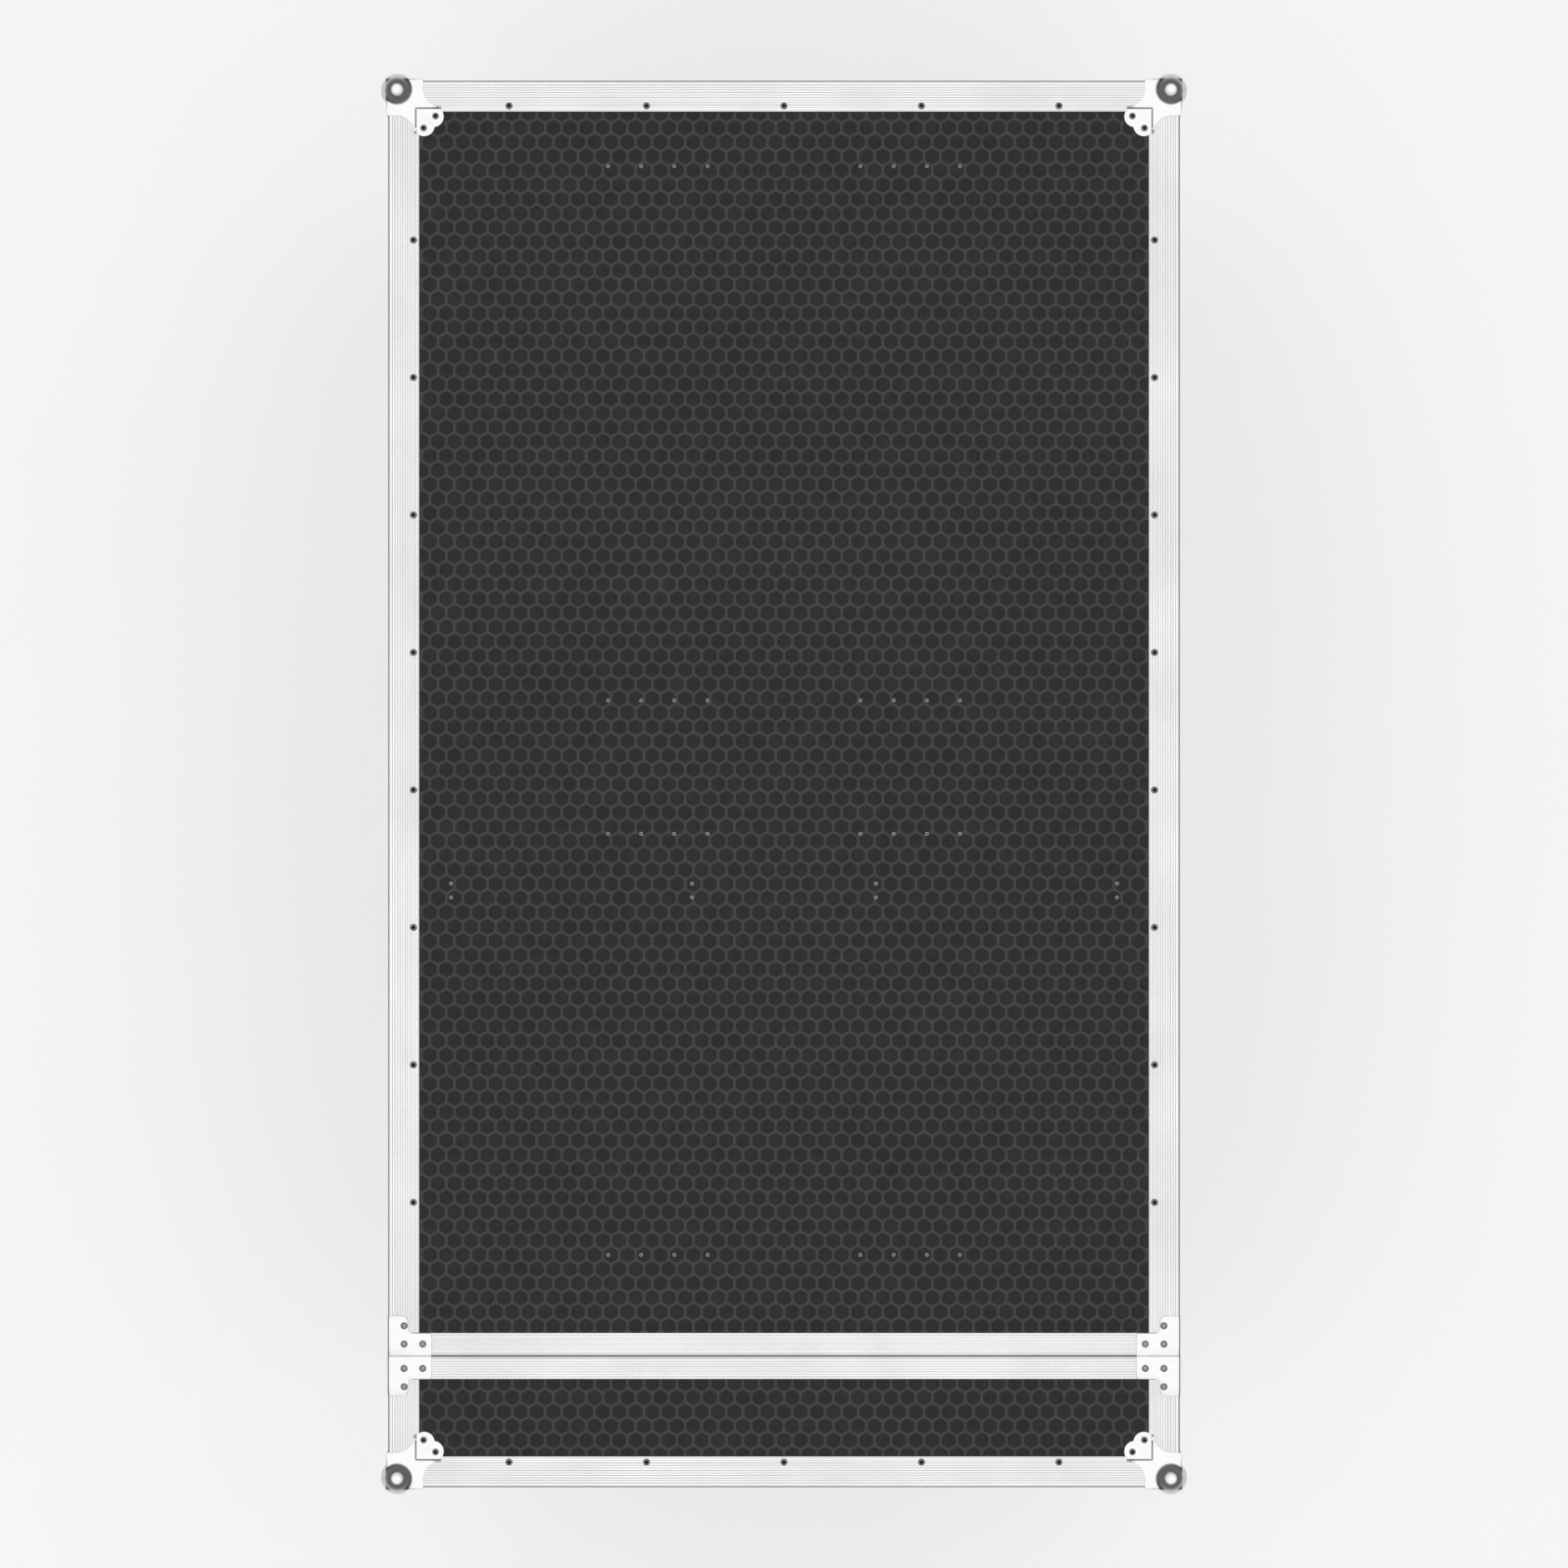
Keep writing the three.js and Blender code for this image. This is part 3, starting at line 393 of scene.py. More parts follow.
def edge_section():
    """The profile's section, as insets from the two faces of the case that it joins."""
    tip = round_points((leg - leg_round, leg_round), leg_round, 0, -90, 3)
    first = drawn_face(corner_radius, leg - leg_round)[::-1]
    turn = round_points((corner_radius, corner_radius), corner_radius, 270, 180, 6)
    inside = np.array([
        (wall, leg), (wall, web), (channel, web),
        (channel, inner_leg), (web, inner_leg), (web, web),
        (inner_leg, web), (inner_leg, channel), (wall, channel), (wall, wall), (leg, wall),
    ])
    return np.concatenate([tip, first, turn, first[::-1, ::-1], tip[::-1, ::-1], inside])


def notched(section):
    """The section where a ball corner's tab steps down: its outer legs stop at the notch."""
    outer = section.min(axis=1) <= wall
    return np.where(outer[:, None], np.minimum(section, notch), section)


def run_of(section):
    """Distance round the section, for the grain that runs along the profile."""
    steps = np.linalg.norm(np.diff(section, axis=0), axis=1)
    return np.concatenate([[0.0], np.cumsum(steps)])


def aluminium_finish():
    """Anodised aluminium: lines drawn along the profile, dull patches, nicks and painted shade on the bend.
    """
    material, tree, shader = new_material("anodised_aluminium", Metallic=1.0)
    grain = node(tree, "Attribute", attribute_name="grain").outputs["Vector"]
    place = node(tree, "TexCoord").outputs["Object"]
    line = span(tree, noise(tree, grain, (2.5, 2600.0, 1.0), 3.0), 0.3, 0.7, 0.0, 1.0)
    wide = noise(tree, grain, (1.2, 420.0, 1.0), 2.0)
    patch = noise(tree, place, 12.0, 5.0)
    colour = blended(tree, line, (0.780, 0.795, 0.788), (1.0, 1.0, 1.0))
    colour = blended(tree, span(tree, wide, 0.35, 0.65, 0.0, 0.45), colour, (0.850, 0.868, 0.858))
    nick = span(tree, noise(tree, place, 140.0, 2.0), 0.74, 0.82, 0.0, 0.2)
    colour = blended(tree, nick, colour, (0.42, 0.42, 0.42))
    # Painted shade: the rounded bend between the two outer faces is darkened towards dark grey.
    bend = node(tree, "SeparateXYZ", {0: grain}).outputs["Z"]
    painted_bend_shade = span(tree, bend, 0.0, 1.0, 0.0, 0.75)
    tree.links.new(blended(tree, painted_bend_shade, colour, (0.30, 0.30, 0.30)), shader.inputs["Base Color"])
    tree.links.new(span(tree, patch, 0.3, 0.7, 0.26, 0.36), shader.inputs["Roughness"])
    relief(tree, shader, line, 0.000012)
    return material


aluminium = aluminium_finish()
section = edge_section()


def edge_points(side, level, stations):
    """A bar along Y: the section at each station (y, section), at one edge of the case."""
    return np.stack([np.stack([
        side * (side_x - cut[:, 0]), np.full(len(cut), y),
        middle_z + level * (top_z - middle_z - cut[:, 1]),
    ], axis=1) for y, cut in stations])


def grain_of(cut, distances):
    """The grain's vector at each grid point: distance along the profile, distance round its
    section, and 1 on the bend between its two outer faces.
    """
    along = np.repeat(np.array(distances)[:, None], len(cut), axis=1)
    across = np.repeat(run_of(cut)[None], len(distances), axis=0)
    # This mask marks the bend, where the aluminium finish paints shade.
    bend = np.repeat((cut.max(axis=1) < 0.99 * corner_radius)[None].astype(float),
                     len(distances), axis=0)
    return np.stack([along, across, bend], axis=-1).reshape(-1, 3)


bar_low, bar_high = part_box("edge_top_right")
for side_name, side in sides.items():
    for level_name, level in edge_levels.items():
        stations = [
            (bar_low[1], section), (back_y - notch_end, section),
            (back_y - notch_end, notched(section)), (bar_high[1], notched(section)),
        ]
        points = edge_points(side, level, stations)
        name = f"edge_{level_name}_{side_name}"
        distances = [y + 3 * side + 7 * level for y, _ in stations]
        piece = new_piece(name + "_profile", grid(points, wrap=True, caps=True), aluminium, "case",
                          "edge_profile", grain=grain_of(section, distances))
        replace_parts(piece, name)


def frame_ring(cut, plane_y, direction):
    """A mitred frame round the case's end, as a section carried past stations round a rectangle.

    Each corner has one mitred station, and two square ones on either side of it, where the legs
    change from notched to whole.
    """
    half = np.array([side_x, top_z - middle_z])
    corners = [(-1, -1, 1), (1, -1, 1), (1, 1, -1), (-1, 1, -1)]
    rows, distances, start = [], [], 0.0
    for k, (sx, sz, sign) in enumerate(corners):
        upright = k % 2
        length = 2 * half[upright]
        for at, part in [(None, notched(cut)), (notch_end, notched(cut)), (notch_end, cut),
                         (length - notch_end, cut), (length - notch_end, notched(cut))]:
            inset, depth = part[:, 0], part[:, 1]
            x = sx * (half[0] - inset)
            z = sz * (half[1] - inset)
            if at is not None and upright:
                z = np.full_like(inset, sz * half[1] + sign * at)
            elif at is not None:
                x = np.full_like(inset, sx * half[0] + sign * at)
            rows.append(np.stack([x, plane_y + direction * depth, middle_z + z], axis=1))
            distances.append(start + (at or 0.0))
        start += length
    rows.append(rows[0])
    distances.append(start)
    return np.stack(rows), distances


points, distances = frame_ring(section, back_y, -1)
piece = new_piece("back_frame_profile", grid(points, wrap=True), aluminium, "case", "edge_profile",
                  grain=grain_of(section, distances))
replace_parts(piece, "back_edge_frame")

points, distances = frame_ring(section, front_y, 1)
shapes = [grid(points, wrap=True)]
grains = [grain_of(section, distances)]
lid_bar_end = split_y - lid_bar_gap
for side in (-1, 1):
    for level in (-1, 1):
        stations = [
            (front_y + leg + mitre_gap, notched(section)), (front_y + notch_end, notched(section)),
            (front_y + notch_end, section), (lid_bar_end, section),
        ]
        shapes.append(grid(edge_points(side, level, stations), wrap=True, caps=True))
        grains.append(grain_of(section, [y + side + 5 * level for y, _ in stations]))
piece = new_piece("lid_frame_profiles", joined(shapes), aluminium, "lid", "edge_profile",
                  grain=np.concatenate(grains))
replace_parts(piece, "lid_edge_frame")

# ---- Lid-location profiles ----
# Two aluminium profiles meet at the joint of lid and body. The lid's has a tongue that locates in
# the body's groove. Both are cut away at the latches, whose dishes take their place.

rim_leg = 0.022
rim_inner_leg = 0.020
rim_block = 0.008
groove = (0.0044, 0.0084)
groove_depth = 0.006
tongue = (0.0048, 0.0080)
tongue_height = 0.0054
joint_round = 0.0005


def rim_section(inlet):
    """A rim's section as inset and depth behind the joint. The inlet is its groove or tongue."""
    face = drawn_face(joint_round, rim_leg - leg_round)[:, ::-1]
    outside = np.concatenate([
        round_points((leg_round, rim_leg - leg_round), leg_round, 90, 180, 3), face[::-1],
        round_points((joint_round, joint_round), joint_round, 180, 270, 3),
    ])
    inside = [(web, 0.0), (web, rim_inner_leg), (channel, rim_inner_leg), (channel, rim_block),
              (wall, rim_block), (wall, rim_leg)]
    return np.concatenate([outside, inlet, inside])


rims = {
    "body_rim": (rim_section([(groove[0], 0.0), (groove[0], groove_depth),
                              (groove[1], groove_depth), (groove[1], 0.0)]), 1, "case"),
    "lid_rim": (rim_section([(tongue[0], 0.0), (tongue[0], -tongue_height),
                             (tongue[1], -tongue_height), (tongue[1], 0.0)]), -1, "lid"),
}
dish_low, dish_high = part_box("latch_dish_right_upper")
latch_z = (dish_low[2] + dish_high[2]) / 2 - middle_z
latch_half = (dish_high[2] - dish_low[2]) / 2 + mitre_gap
rim_half = top_z - middle_z


def rim_stretch(cut, direction, corners):
    """The section carried along a line of (x, z) corners round the case's joint, with mitred turns.

    A corner on a side face keeps its z for the whole section. A turn moves both x and z in.
    """
    rows = []
    for x, z in corners:
        turn = abs(z) >= rim_half
        inward = np.sign(z) * (rim_half - cut[:, 0]) if turn else np.full(len(cut), z)
        outward = np.sign(x) * (side_x - cut[:, 0])
        along = split_y + direction * (seat_gap + cut[:, 1])
        rows.append(np.stack([outward, along, middle_z + inward], axis=1))
    return np.stack(rows)


for name, (cut, direction, body) in rims.items():
    near, far = latch_z - latch_half, latch_z + latch_half
    stretches = [
        [(-side_x, far), (-side_x, rim_half), (side_x, rim_half), (side_x, far)],
        [(-side_x, -far), (-side_x, -rim_half), (side_x, -rim_half), (side_x, -far)],
        [(-side_x, -near), (-side_x, near)],
        [(side_x, -near), (side_x, near)],
    ]
    shapes, grains = [], []
    for k, corners in enumerate(stretches):
        points = rim_stretch(cut, direction, corners)
        steps = np.linalg.norm(np.diff(np.array(corners), axis=0), axis=1)
        shapes.append(grid(points, wrap=True, caps=True))
        grains.append(grain_of(cut, np.concatenate([[0.0], np.cumsum(steps)]) + 3 * k + direction))
    piece = new_piece(name + "_profile", joined(shapes), aluminium, body, "edge_profile",
                      grain=np.concatenate(grains))
    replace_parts(piece, name)

# ---- Braces ----
# Each corner of the joint has a brace on either side of it, pressed from bright steel sheet. A
# brace is bent over the edge of the case, with one long leg along the profile and one short arm
# along the rim on both of its faces, and is riveted on.

sheet = 0.0012
sheet_out = seat_gap + sheet
brace_across = 0.0421
brace_along = 0.0385
brace_leg = 0.0193
brace_fillet = 0.005
brace_tip = 0.0025
bend_radius = 0.0022


def steel_finish(name, dark, bright, low_rough, high_rough):
    """Plated pressed steel: a bright skin with cloudy patches, wipe marks and small scratches."""
    material, tree, shader = new_material(name, Metallic=1.0)
    place = node(tree, "TexCoord").outputs["Object"]
    cloud = noise(tree, place, 26.0, 5.0)
    colour = blended(tree, cloud, dark, bright)
    scratch = span(tree, noise(tree, place, (60.0, 1100.0, 60.0), 3.0), 0.64, 0.76, 0.0, 0.3)
    tree.links.new(blended(tree, scratch, colour, (0.55, 0.55, 0.56)), shader.inputs["Base Color"])
    wipe = noise(tree, place, (70.0, 320.0, 70.0), 4.0)
    tree.links.new(span(tree, wipe, 0.3, 0.7, low_rough, high_rough), shader.inputs["Roughness"])
    relief(tree, shader, noise(tree, place, 240.0, 3.0), 0.00002)
    return material


brace_steel = steel_finish("brace_steel", (0.86, 0.86, 0.855), (0.92, 0.92, 0.915), 0.18, 0.28)


def solid_sheet(piece, thickness, bevel):
    """Gives an outer skin the thickness of its sheet, inward, and rounds the cut edges."""
    fill = piece.modifiers.new("thickness", "SOLIDIFY")
    fill.thickness = thickness
    fill.offset = -1.0
    edge = piece.modifiers.new("edge_round", "BEVEL")
    edge.width = bevel
    edge.segments = 2
    edge.limit_method = "ANGLE"
    edge.angle_limit = math.radians(50)


def brace_face():
    """Half of a brace, from its arm's tip to the bend, ruled from the joint to its outline.

    Points are (inset across, distance from the joint). The outline goes round the arm's tip, along
    the arm, through the fillet and up to the leg's round end.
    """
    outline = np.concatenate([
        round_points((brace_across - brace_tip, rim_leg - brace_tip), brace_tip, 0, 90, 5),
        round_points((brace_leg + brace_fillet, rim_leg + brace_fillet),
                     brace_fillet, -90, -180, 6),
        round_points((brace_leg - brace_fillet, brace_along - brace_fillet),
                     brace_fillet, 0, 90, 6),
        [(bend_radius, brace_along)],
    ])
    start = np.stack([np.linspace(brace_across, bend_radius, len(outline)),
                      np.full(len(outline), seat_gap)], axis=1)
    share = np.linspace(0, 1, 4)[:, None, None]
    return start[None] * (1 - share) + outline[None] * share


def brace_skin():
    """The outer skin of a brace in insets from the two faces, as two faces joined by the bend.

    Its last axis is (inset from one face, distance from the joint, inset from the other face).
    """
    flat = brace_face()
    face = np.stack([flat[..., 0], flat[..., 1], np.full(flat.shape[:2], -sheet_out)], axis=-1)
    arc = round_points((bend_radius, bend_radius), bend_radius + sheet_out, 270, 180, 7)[1:-1]
    along = flat[:, -1, 1]
    bend = np.stack([np.stack([np.full(len(along), a), along, np.full(len(along), b)], axis=1)
                     for a, b in arc], axis=1)
    return np.concatenate([face, bend, face[:, ::-1, ::-1]], axis=1)


skin = brace_skin()
for direction, body in ((1, "case"), (-1, "lid")):
    for side_name, side in sides.items():
        for level_name, level in levels.items():
            origin = (side * side_x, split_y, middle_z + level * rim_half)
            axes = ((-side, 0, 0), (0, direction, 0), (0, 0, -level))
            name = f"brace_{body}_{side_name}_{level_name}"
            piece = new_piece(name, placed(grid(skin), origin, axes), brace_steel, body,
                              "pressed_steel", closed=False)
            solid_sheet(piece, sheet, 0.0002)

# ---- Ball corners ----
# Each corner of the case has a cap pressed from bright plated steel: a ball over the corner, a
# plate with two legs on each face, and a tab that steps down from each plate to the board. Two
# rivets hold each tab.

board_depth = top_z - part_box("top_board")[1][2]
tab_depth = board_depth - seat_gap - sheet
ball_radius = 0.0163
ball_inset = 0.0088
flare = 0.0036
bent_edge = 0.0024
plate_reach = 0.0338
scoop_centre = (0.0535, 0.0070)
scoop_radius = 0.0198
crank_start = 0.0260
crank_foot = 0.0276
crank_end = 0.0509
lobe_centre = (0.0435, 0.0348)
lobe_radius = 0.01005
square_steps = 29
leg_steps = 8
crank_steps = 7


def spread(path, count):
    """A path's points, spread evenly by distance along it."""
    run = run_of(path)
    at = np.linspace(0, run[-1], count)
    return np.stack([np.interp(at, run, path[:, k]) for k in range(path.shape[1])], axis=1)


def ruled(first, last, count):
    """Rows of points on straight lines from each point of one curve to its fellow on another."""
    share = np.linspace(0, 1, count)[:, None, None]
    return first[None] * (1 - share) + last[None] * share


def ball_skin(points):
    """Points of the plates' planes, pushed out along the lines from the ball's centre.

    Each distance is the larger of the ball's radius and the nearest plane's distance. The two blend
    over the flare, and the planes blend into each other over the bent edges.
    """
    def soft(gap, size):
        return np.maximum(size - gap, 0) ** 2 / (4 * size)
    way = points - ball_inset
    way = way / np.linalg.norm(way, axis=-1, keepdims=True)
    plane = np.sort((ball_inset + sheet_out) / np.maximum(-way, 1e-6), axis=-1)
    near = plane[..., 0] - soft(plane[..., 1] - plane[..., 0], bent_edge)
    far = np.maximum(near, ball_radius) + soft(abs(near - ball_radius), flare)
    return ball_inset + way * far[..., None]


def at_depth(points, depth):
    """Points of a face with their depth below it added."""
    return np.concatenate([points, np.full((*points.shape[:-1], 1), depth)], axis=-1)


def corner_skin():
    """The cap's outer skin, in insets from the three faces that meet at the corner.

    Each face has a square grid for its share of the ball, and on both sides of its diagonal a leg
    out to the scoop, the crank's wall and half of the lobed tab.
    """
    steps = np.linspace(-sheet_out, crank_start, square_steps)
    square = np.stack(np.meshgrid(steps, steps, indexing="ij"), axis=-1)
    scoop = np.concatenate([
        [(plate_reach, -sheet_out)], round_points(scoop_centre, scoop_radius, 171, 97.5, 24),
        [(crank_end, crank_start)],
    ])
    start = np.stack([np.full(square_steps, crank_start), steps], axis=1)
    leg_face = ruled(start, spread(scoop, square_steps), leg_steps)
    crank_top = leg_face[:, -1]
    crank_low = np.linspace((crank_foot, crank_foot), (crank_end, crank_foot), leg_steps)
    fall = (1 - np.cos(np.linspace(0, np.pi, crank_steps))) / 2
    crank = np.stack([at_depth(crank_top * (1 - t) + crank_low * t,
                               tab_depth * f - sheet_out * (1 - f))
                      for t, f in zip(np.linspace(0, 1, crank_steps), fall)], axis=1)
    lobe = round_points(lobe_centre, lobe_radius, -43, 82.7, 16)
    rim = np.concatenate([crank_low, lobe])
    diagonal = np.linspace((crank_foot, crank_foot), lobe[-1], len(rim))
    tab = ruled(rim, diagonal, 4).transpose(1, 0, 2)
    halves = [grid(ball_skin(at_depth(leg_face, -sheet_out))), grid(crank),
              grid(at_depth(tab, tab_depth))]
    swapped = [placed(half, (0, 0, 0), np.eye(3)[[1, 0, 2]]) for half in halves]
    face = joined([grid(ball_skin(at_depth(square, -sheet_out))), *halves, *swapped])
    return joined([placed(face, (0, 0, 0), np.roll(np.eye(3), k, axis=0)) for k in range(3)])


def paint_dark_reflection_and_shade(material):
    """Adds, in fine streaks, painted dark reflection on the ball's flanks and painted shade at its foot and
    in each crank.
    """
    tree = material.node_tree
    shader = tree.nodes["Principled BSDF"]
    bright = shader.inputs["Base Color"].links[0].from_socket
    place = node(tree, "TexCoord").outputs["Object"]
    streak = noise(tree, place, (900.0, 900.0, 260.0), 4.0, 0.7)
    # The drawn attribute: painted dark reflection on the ball's flanks, painted shade at its foot and in
    # each crank.
    painted_shade_and_reflection_share = node(tree, "Attribute", attribute_name="drawn").outputs["Fac"]
    streaks = span(tree, streak, 0.3, 0.7, 0.0, 1.0)
    # The painted dark colour of that reflection and shade, in fine streaks.
    dull = blended(tree, streaks, (0.13, 0.13, 0.132), (0.24, 0.24, 0.242))
    tree.links.new(blended(tree, painted_shade_and_reflection_share, bright, dull), shader.inputs["Base Color"])


corner_steel = steel_finish("corner_steel", (0.84, 0.84, 0.84), (0.90, 0.90, 0.895), 0.10, 0.18)
# Paints dark reflection and shade over the bright steel of the caps.
paint_dark_reflection_and_shade(corner_steel)
corner_shape = corner_skin()
from_ball = corner_shape[0] - ball_inset
reach = np.linalg.norm(from_ball, axis=1)
tilt = np.degrees(np.arccos(np.clip(-from_ball.min(axis=1) / reach, -1, 1)))
rise = reach - ball_radius
# Painted dark reflection on the ball's flanks, away from the crown that faces each side.
painted_flank_reflection = np.clip(1 - rise / 0.0006, 0, 1) * np.clip((tilt - 12) / 10, 0, 1)
# Painted shade in the crease round the ball's foot, where it meets the plates.
foot = np.clip((rise - 0.0001) / 0.0005, 0, 1) * np.clip((0.0021 - rise) / 0.0008, 0, 1)
nearest = corner_shape[0].min(axis=1)
# Painted shade in the fold of each crank.
painted_crank_shade = np.clip(1 - abs(nearest - (tab_depth - sheet_out) / 2) / 0.0007, 0, 1)
drawn = np.maximum.reduce([0.45 * painted_flank_reflection, foot, 0.8 * painted_crank_shade])
case_ends = {"back": (1, back_y, "case"), "lid": (-1, front_y, "lid")}
for end_name, (end, end_y, body) in case_ends.items():
    for level_name, level in edge_levels.items():
        for side_name, side in sides.items():
            origin = (side * side_x, end_y, middle_z + level * rim_half)
            name = f"ball_corner_{end_name}_{level_name}_{side_name}"
            # Each cap carries the drawn attribute: its painted dark reflection and shade.
            piece = new_piece(name + "_cap",
                              placed(corner_shape, origin, np.diag((-side, -end, -level))),
                              corner_steel, body, "pressed_steel",
                              smooth=50, closed=False, drawn=drawn)
            solid_sheet(piece, sheet, 0.00018)
            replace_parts(piece, name)

# ---- Rivets ----
# Steel pop rivets hold the profiles, the corners and the fittings to the boards. Each head is a low
# dome with a hole in its middle, left by the mandrel. The braces have solid rivets, and smaller
# bright ones hold the battens and the stop board under the top.

rivet_sides = 12


def turned(profile, count, ring=False):
    """A surface of revolution about z, from (radius, height) points: capped, or a closed ring."""
    if ring:
        profile = np.concatenate([profile, profile[:1]])
    turn = 2 * np.pi * np.arange(count) / count
    around = np.stack([np.cos(turn), np.sin(turn)], axis=1)
    points = np.concatenate([profile[:, None, :1] * around[None],
                             np.repeat(profile[:, None, 1:], count, axis=1)], axis=2)
    return grid(points, wrap=True, caps=not ring)


def rivet(radius, pierced):
    """A rivet's head on z = 0: a low dome, with the mandrel's hole sunk in it if it's pierced."""
    dome = [(1.0, -0.03), (1.0, 0.06), (0.90, 0.20), (0.72, 0.30)]
    crown = [(0.46, 0.31), (0.36, 0.05)] if pierced else [(0.42, 0.36), (0.12, 0.38)]
    return turned(radius * np.array(dome + crown), rivet_sides)


def facing(axis, sign):
    """Axes whose third one points out of the face that an axis number and a sign give."""
    return np.roll(np.eye(3), -axis - 1, axis=0) * np.array([[1], [sign], [sign]])


def every(xs, ys, zs):
    """Every place with one of the given x, y and z values."""
    return np.stack(np.meshgrid(xs, ys, zs, indexing="ij"), axis=-1).reshape(-1, 3)


def repeated(shape, origins):
    """A copy of a shape at each origin."""
    points, polygons = shape
    first = len(points) * np.arange(len(origins))
    copies = [(face[None] + first[:, None, None]).reshape(-1, face.shape[1]) for face in polygons]
    return (points[None] + origins[:, None]).reshape(-1, 3), copies


def rivet_finish(name, dark, bright):
    """Dulled steel in small cloudy patches, and painted shade, near black, inside the hole."""
    material, tree, shader = new_material(name, Metallic=1.0)
    place = node(tree, "TexCoord").outputs["Object"]
    hole = node(tree, "Attribute", attribute_name="hole").outputs["Fac"]
    grey = blended(tree, noise(tree, place, 800.0, 4.0), dark, bright)
    # Painted shade: the inside of each rivet's hole is coloured near black.
    tree.links.new(blended(tree, hole, grey, (0.004, 0.004, 0.004)), shader.inputs["Base Color"])
    tree.links.new(span(tree, noise(tree, place, 1500.0), 0.3, 0.7, 0.22, 0.40),
                   shader.inputs["Roughness"])
    return material


rivet_steel = rivet_finish("rivet_steel", (0.25, 0.25, 0.255), (0.40, 0.40, 0.405))
batten_steel = rivet_finish("batten_rivet_steel", (0.62, 0.62, 0.62), (0.76, 0.76, 0.76))


def rivet_set(name, radius, rows, body, pierced=True, steel=rivet_steel):
    """One piece of rivets. Each row gives a face's axis and sign, and the heads' places on it."""
    head = rivet(radius, pierced)
    # The painted shade's share at each ring of a head: none on the dome, 0.8 at the hole's lip, 1 at its
    # bottom.
    depth = np.repeat([0.0, 0.0, 0.0, 0.0, 0.8 * pierced, 1.0 * pierced], rivet_sides)
    shapes = [repeated(placed(head, (0, 0, 0), facing(axis, sign)), at) for axis, sign, at in rows]
    hole = np.tile(depth, sum(len(at) for _, _, at in rows))
    return new_piece(name, joined(shapes), steel, body, "zinc_plate", smooth=50, hole=hole)


edge_rivet = 0.00345
edge_inset = 0.0246
rivet_pitch = 0.13185
across_x = np.arange(-2, 3) * rivet_pitch
along_y = 0.5217 - np.arange(8) * rivet_pitch
up_z = middle_z + (np.arange(4) - 1.5) * rivet_pitch
side_pair = np.array([-1, 1]) * (side_x - edge_inset)
level_pair = middle_z + np.array([-1, 1]) * (rim_half - edge_inset)
for end_name, (end, end_y, body) in case_ends.items():
    row_y = [end_y - end * edge_inset]
    rows = [(1, end, every(across_x, [end_y], level_pair)),
            (1, end, every(side_pair, [end_y], up_z))]
    for sign in (-1, 1):
        flat, upright = [middle_z + sign * rim_half], [sign * side_x]
        rows.append((2, sign, every(across_x, row_y, flat)))
        rows.append((0, sign, every(upright, row_y, up_z)))
        if body == "case":
            rows.append((2, sign, every(side_pair, along_y, flat)))
            rows.append((0, sign, every(upright, along_y, level_pair)))
    rivet_set(f"{body}_edge_rivets", edge_rivet, rows, body)

brace_rivets = np.array([(0.0157, 0.0117), (0.0336, 0.0117), (0.0157, 0.0292)])
for direction, body in ((1, "case"), (-1, "lid")):
    rows = []
    for sign in (-1, 1):
        for other in (-1, 1):
            inset, run = brace_rivets.T
            y = split_y + direction * run
            out = sign * sheet_out
            rows.append((2, sign, np.stack([other * (side_x - inset), y,
                                            np.full(3, middle_z + sign * rim_half + out)], axis=1)))
            rows.append((0, sign, np.stack([np.full(3, sign * side_x + out), y,
                                            middle_z + other * (rim_half - inset)], axis=1)))
    rivet_set(f"{body}_brace_rivets", edge_rivet, rows, body, pierced=False)

tab_rivet = 0.0033
tab_rivets = np.array([(0.0458, 0.0343), (0.0343, 0.0458)])
for end_name, (end, end_y, body) in case_ends.items():
    rows = []
    for side in (-1, 1):
        for level in (-1, 1):
            signs = np.array([side, end, level])
            for axis in range(3):
                inset = np.full((2, 3), tab_depth)
                inset[:, (axis + 1) % 3], inset[:, (axis + 2) % 3] = tab_rivets.T
                half = np.array([side_x, abs(end_y), rim_half])
                rows.append((axis, signs[axis], signs * (half - inset) + [0, 0, middle_z]))
    rivet_set(f"{body}_corner_rivets", tab_rivet, rows, body)

panel_rivet = 0.0022
batten_rivet = 0.0019
panel_z = [top_z - board_depth]
batten_x = np.outer([-1, 1], [0.0733, 0.1053, 0.1371, 0.1688]).ravel()
batten_y = [0.5930, 0.0802, -0.0477, -0.4519]
stop_x = [-0.3196, -0.0882, 0.0882, 0.3196]
stop_low, stop_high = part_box("stop_board")
stop_y = (stop_low[1] + stop_high[1]) / 2
stop_pair = stop_y + np.array([-1, 1]) * 0.0066
rows = [(2, 1, every(batten_x, batten_y, panel_z)), (2, 1, every(stop_x, stop_pair, panel_z))]
rivet_set("batten_rivets", batten_rivet, rows, "case", steel=batten_steel)

# ---- Stop board ----
# A birch plywood board hangs from the top inside the case and steadies the cabinets behind it. It
# is screwed through the top, and its sawn edges show the plies.

ply_thickness = 0.0014

def softened(node_name, ending, material, width, segments=2):
    """A node's own mesh, its triangles merged into whole flat faces and its edges rounded."""
    mesh = frame["nodes"][node_name].data.copy()
    work = bmesh.new()
    work.from_mesh(mesh)
    bmesh.ops.remove_doubles(work, verts=work.verts, dist=2e-6)
    bmesh.ops.dissolve_limit(work, angle_limit=math.radians(1), verts=work.verts, edges=work.edges)
    work.to_mesh(mesh)
    work.free()
    mesh.materials.clear()
    mesh.materials.append(material)
    mesh.shade_smooth()
    mesh.set_sharp_from_angle(angle=math.radians(35))
    piece = bpy.data.objects.new(node_name + ending, mesh)
    bpy.context.scene.collection.objects.link(piece)
    edge = piece.modifiers.new("edge_round", "BEVEL")
    edge.width = width
    edge.segments = segments
    edge.limit_method = "ANGLE"
    edge.angle_limit = math.radians(35)
    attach(piece, frame["nodes"][node_name]["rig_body"])
    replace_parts(piece, node_name)
    return piece


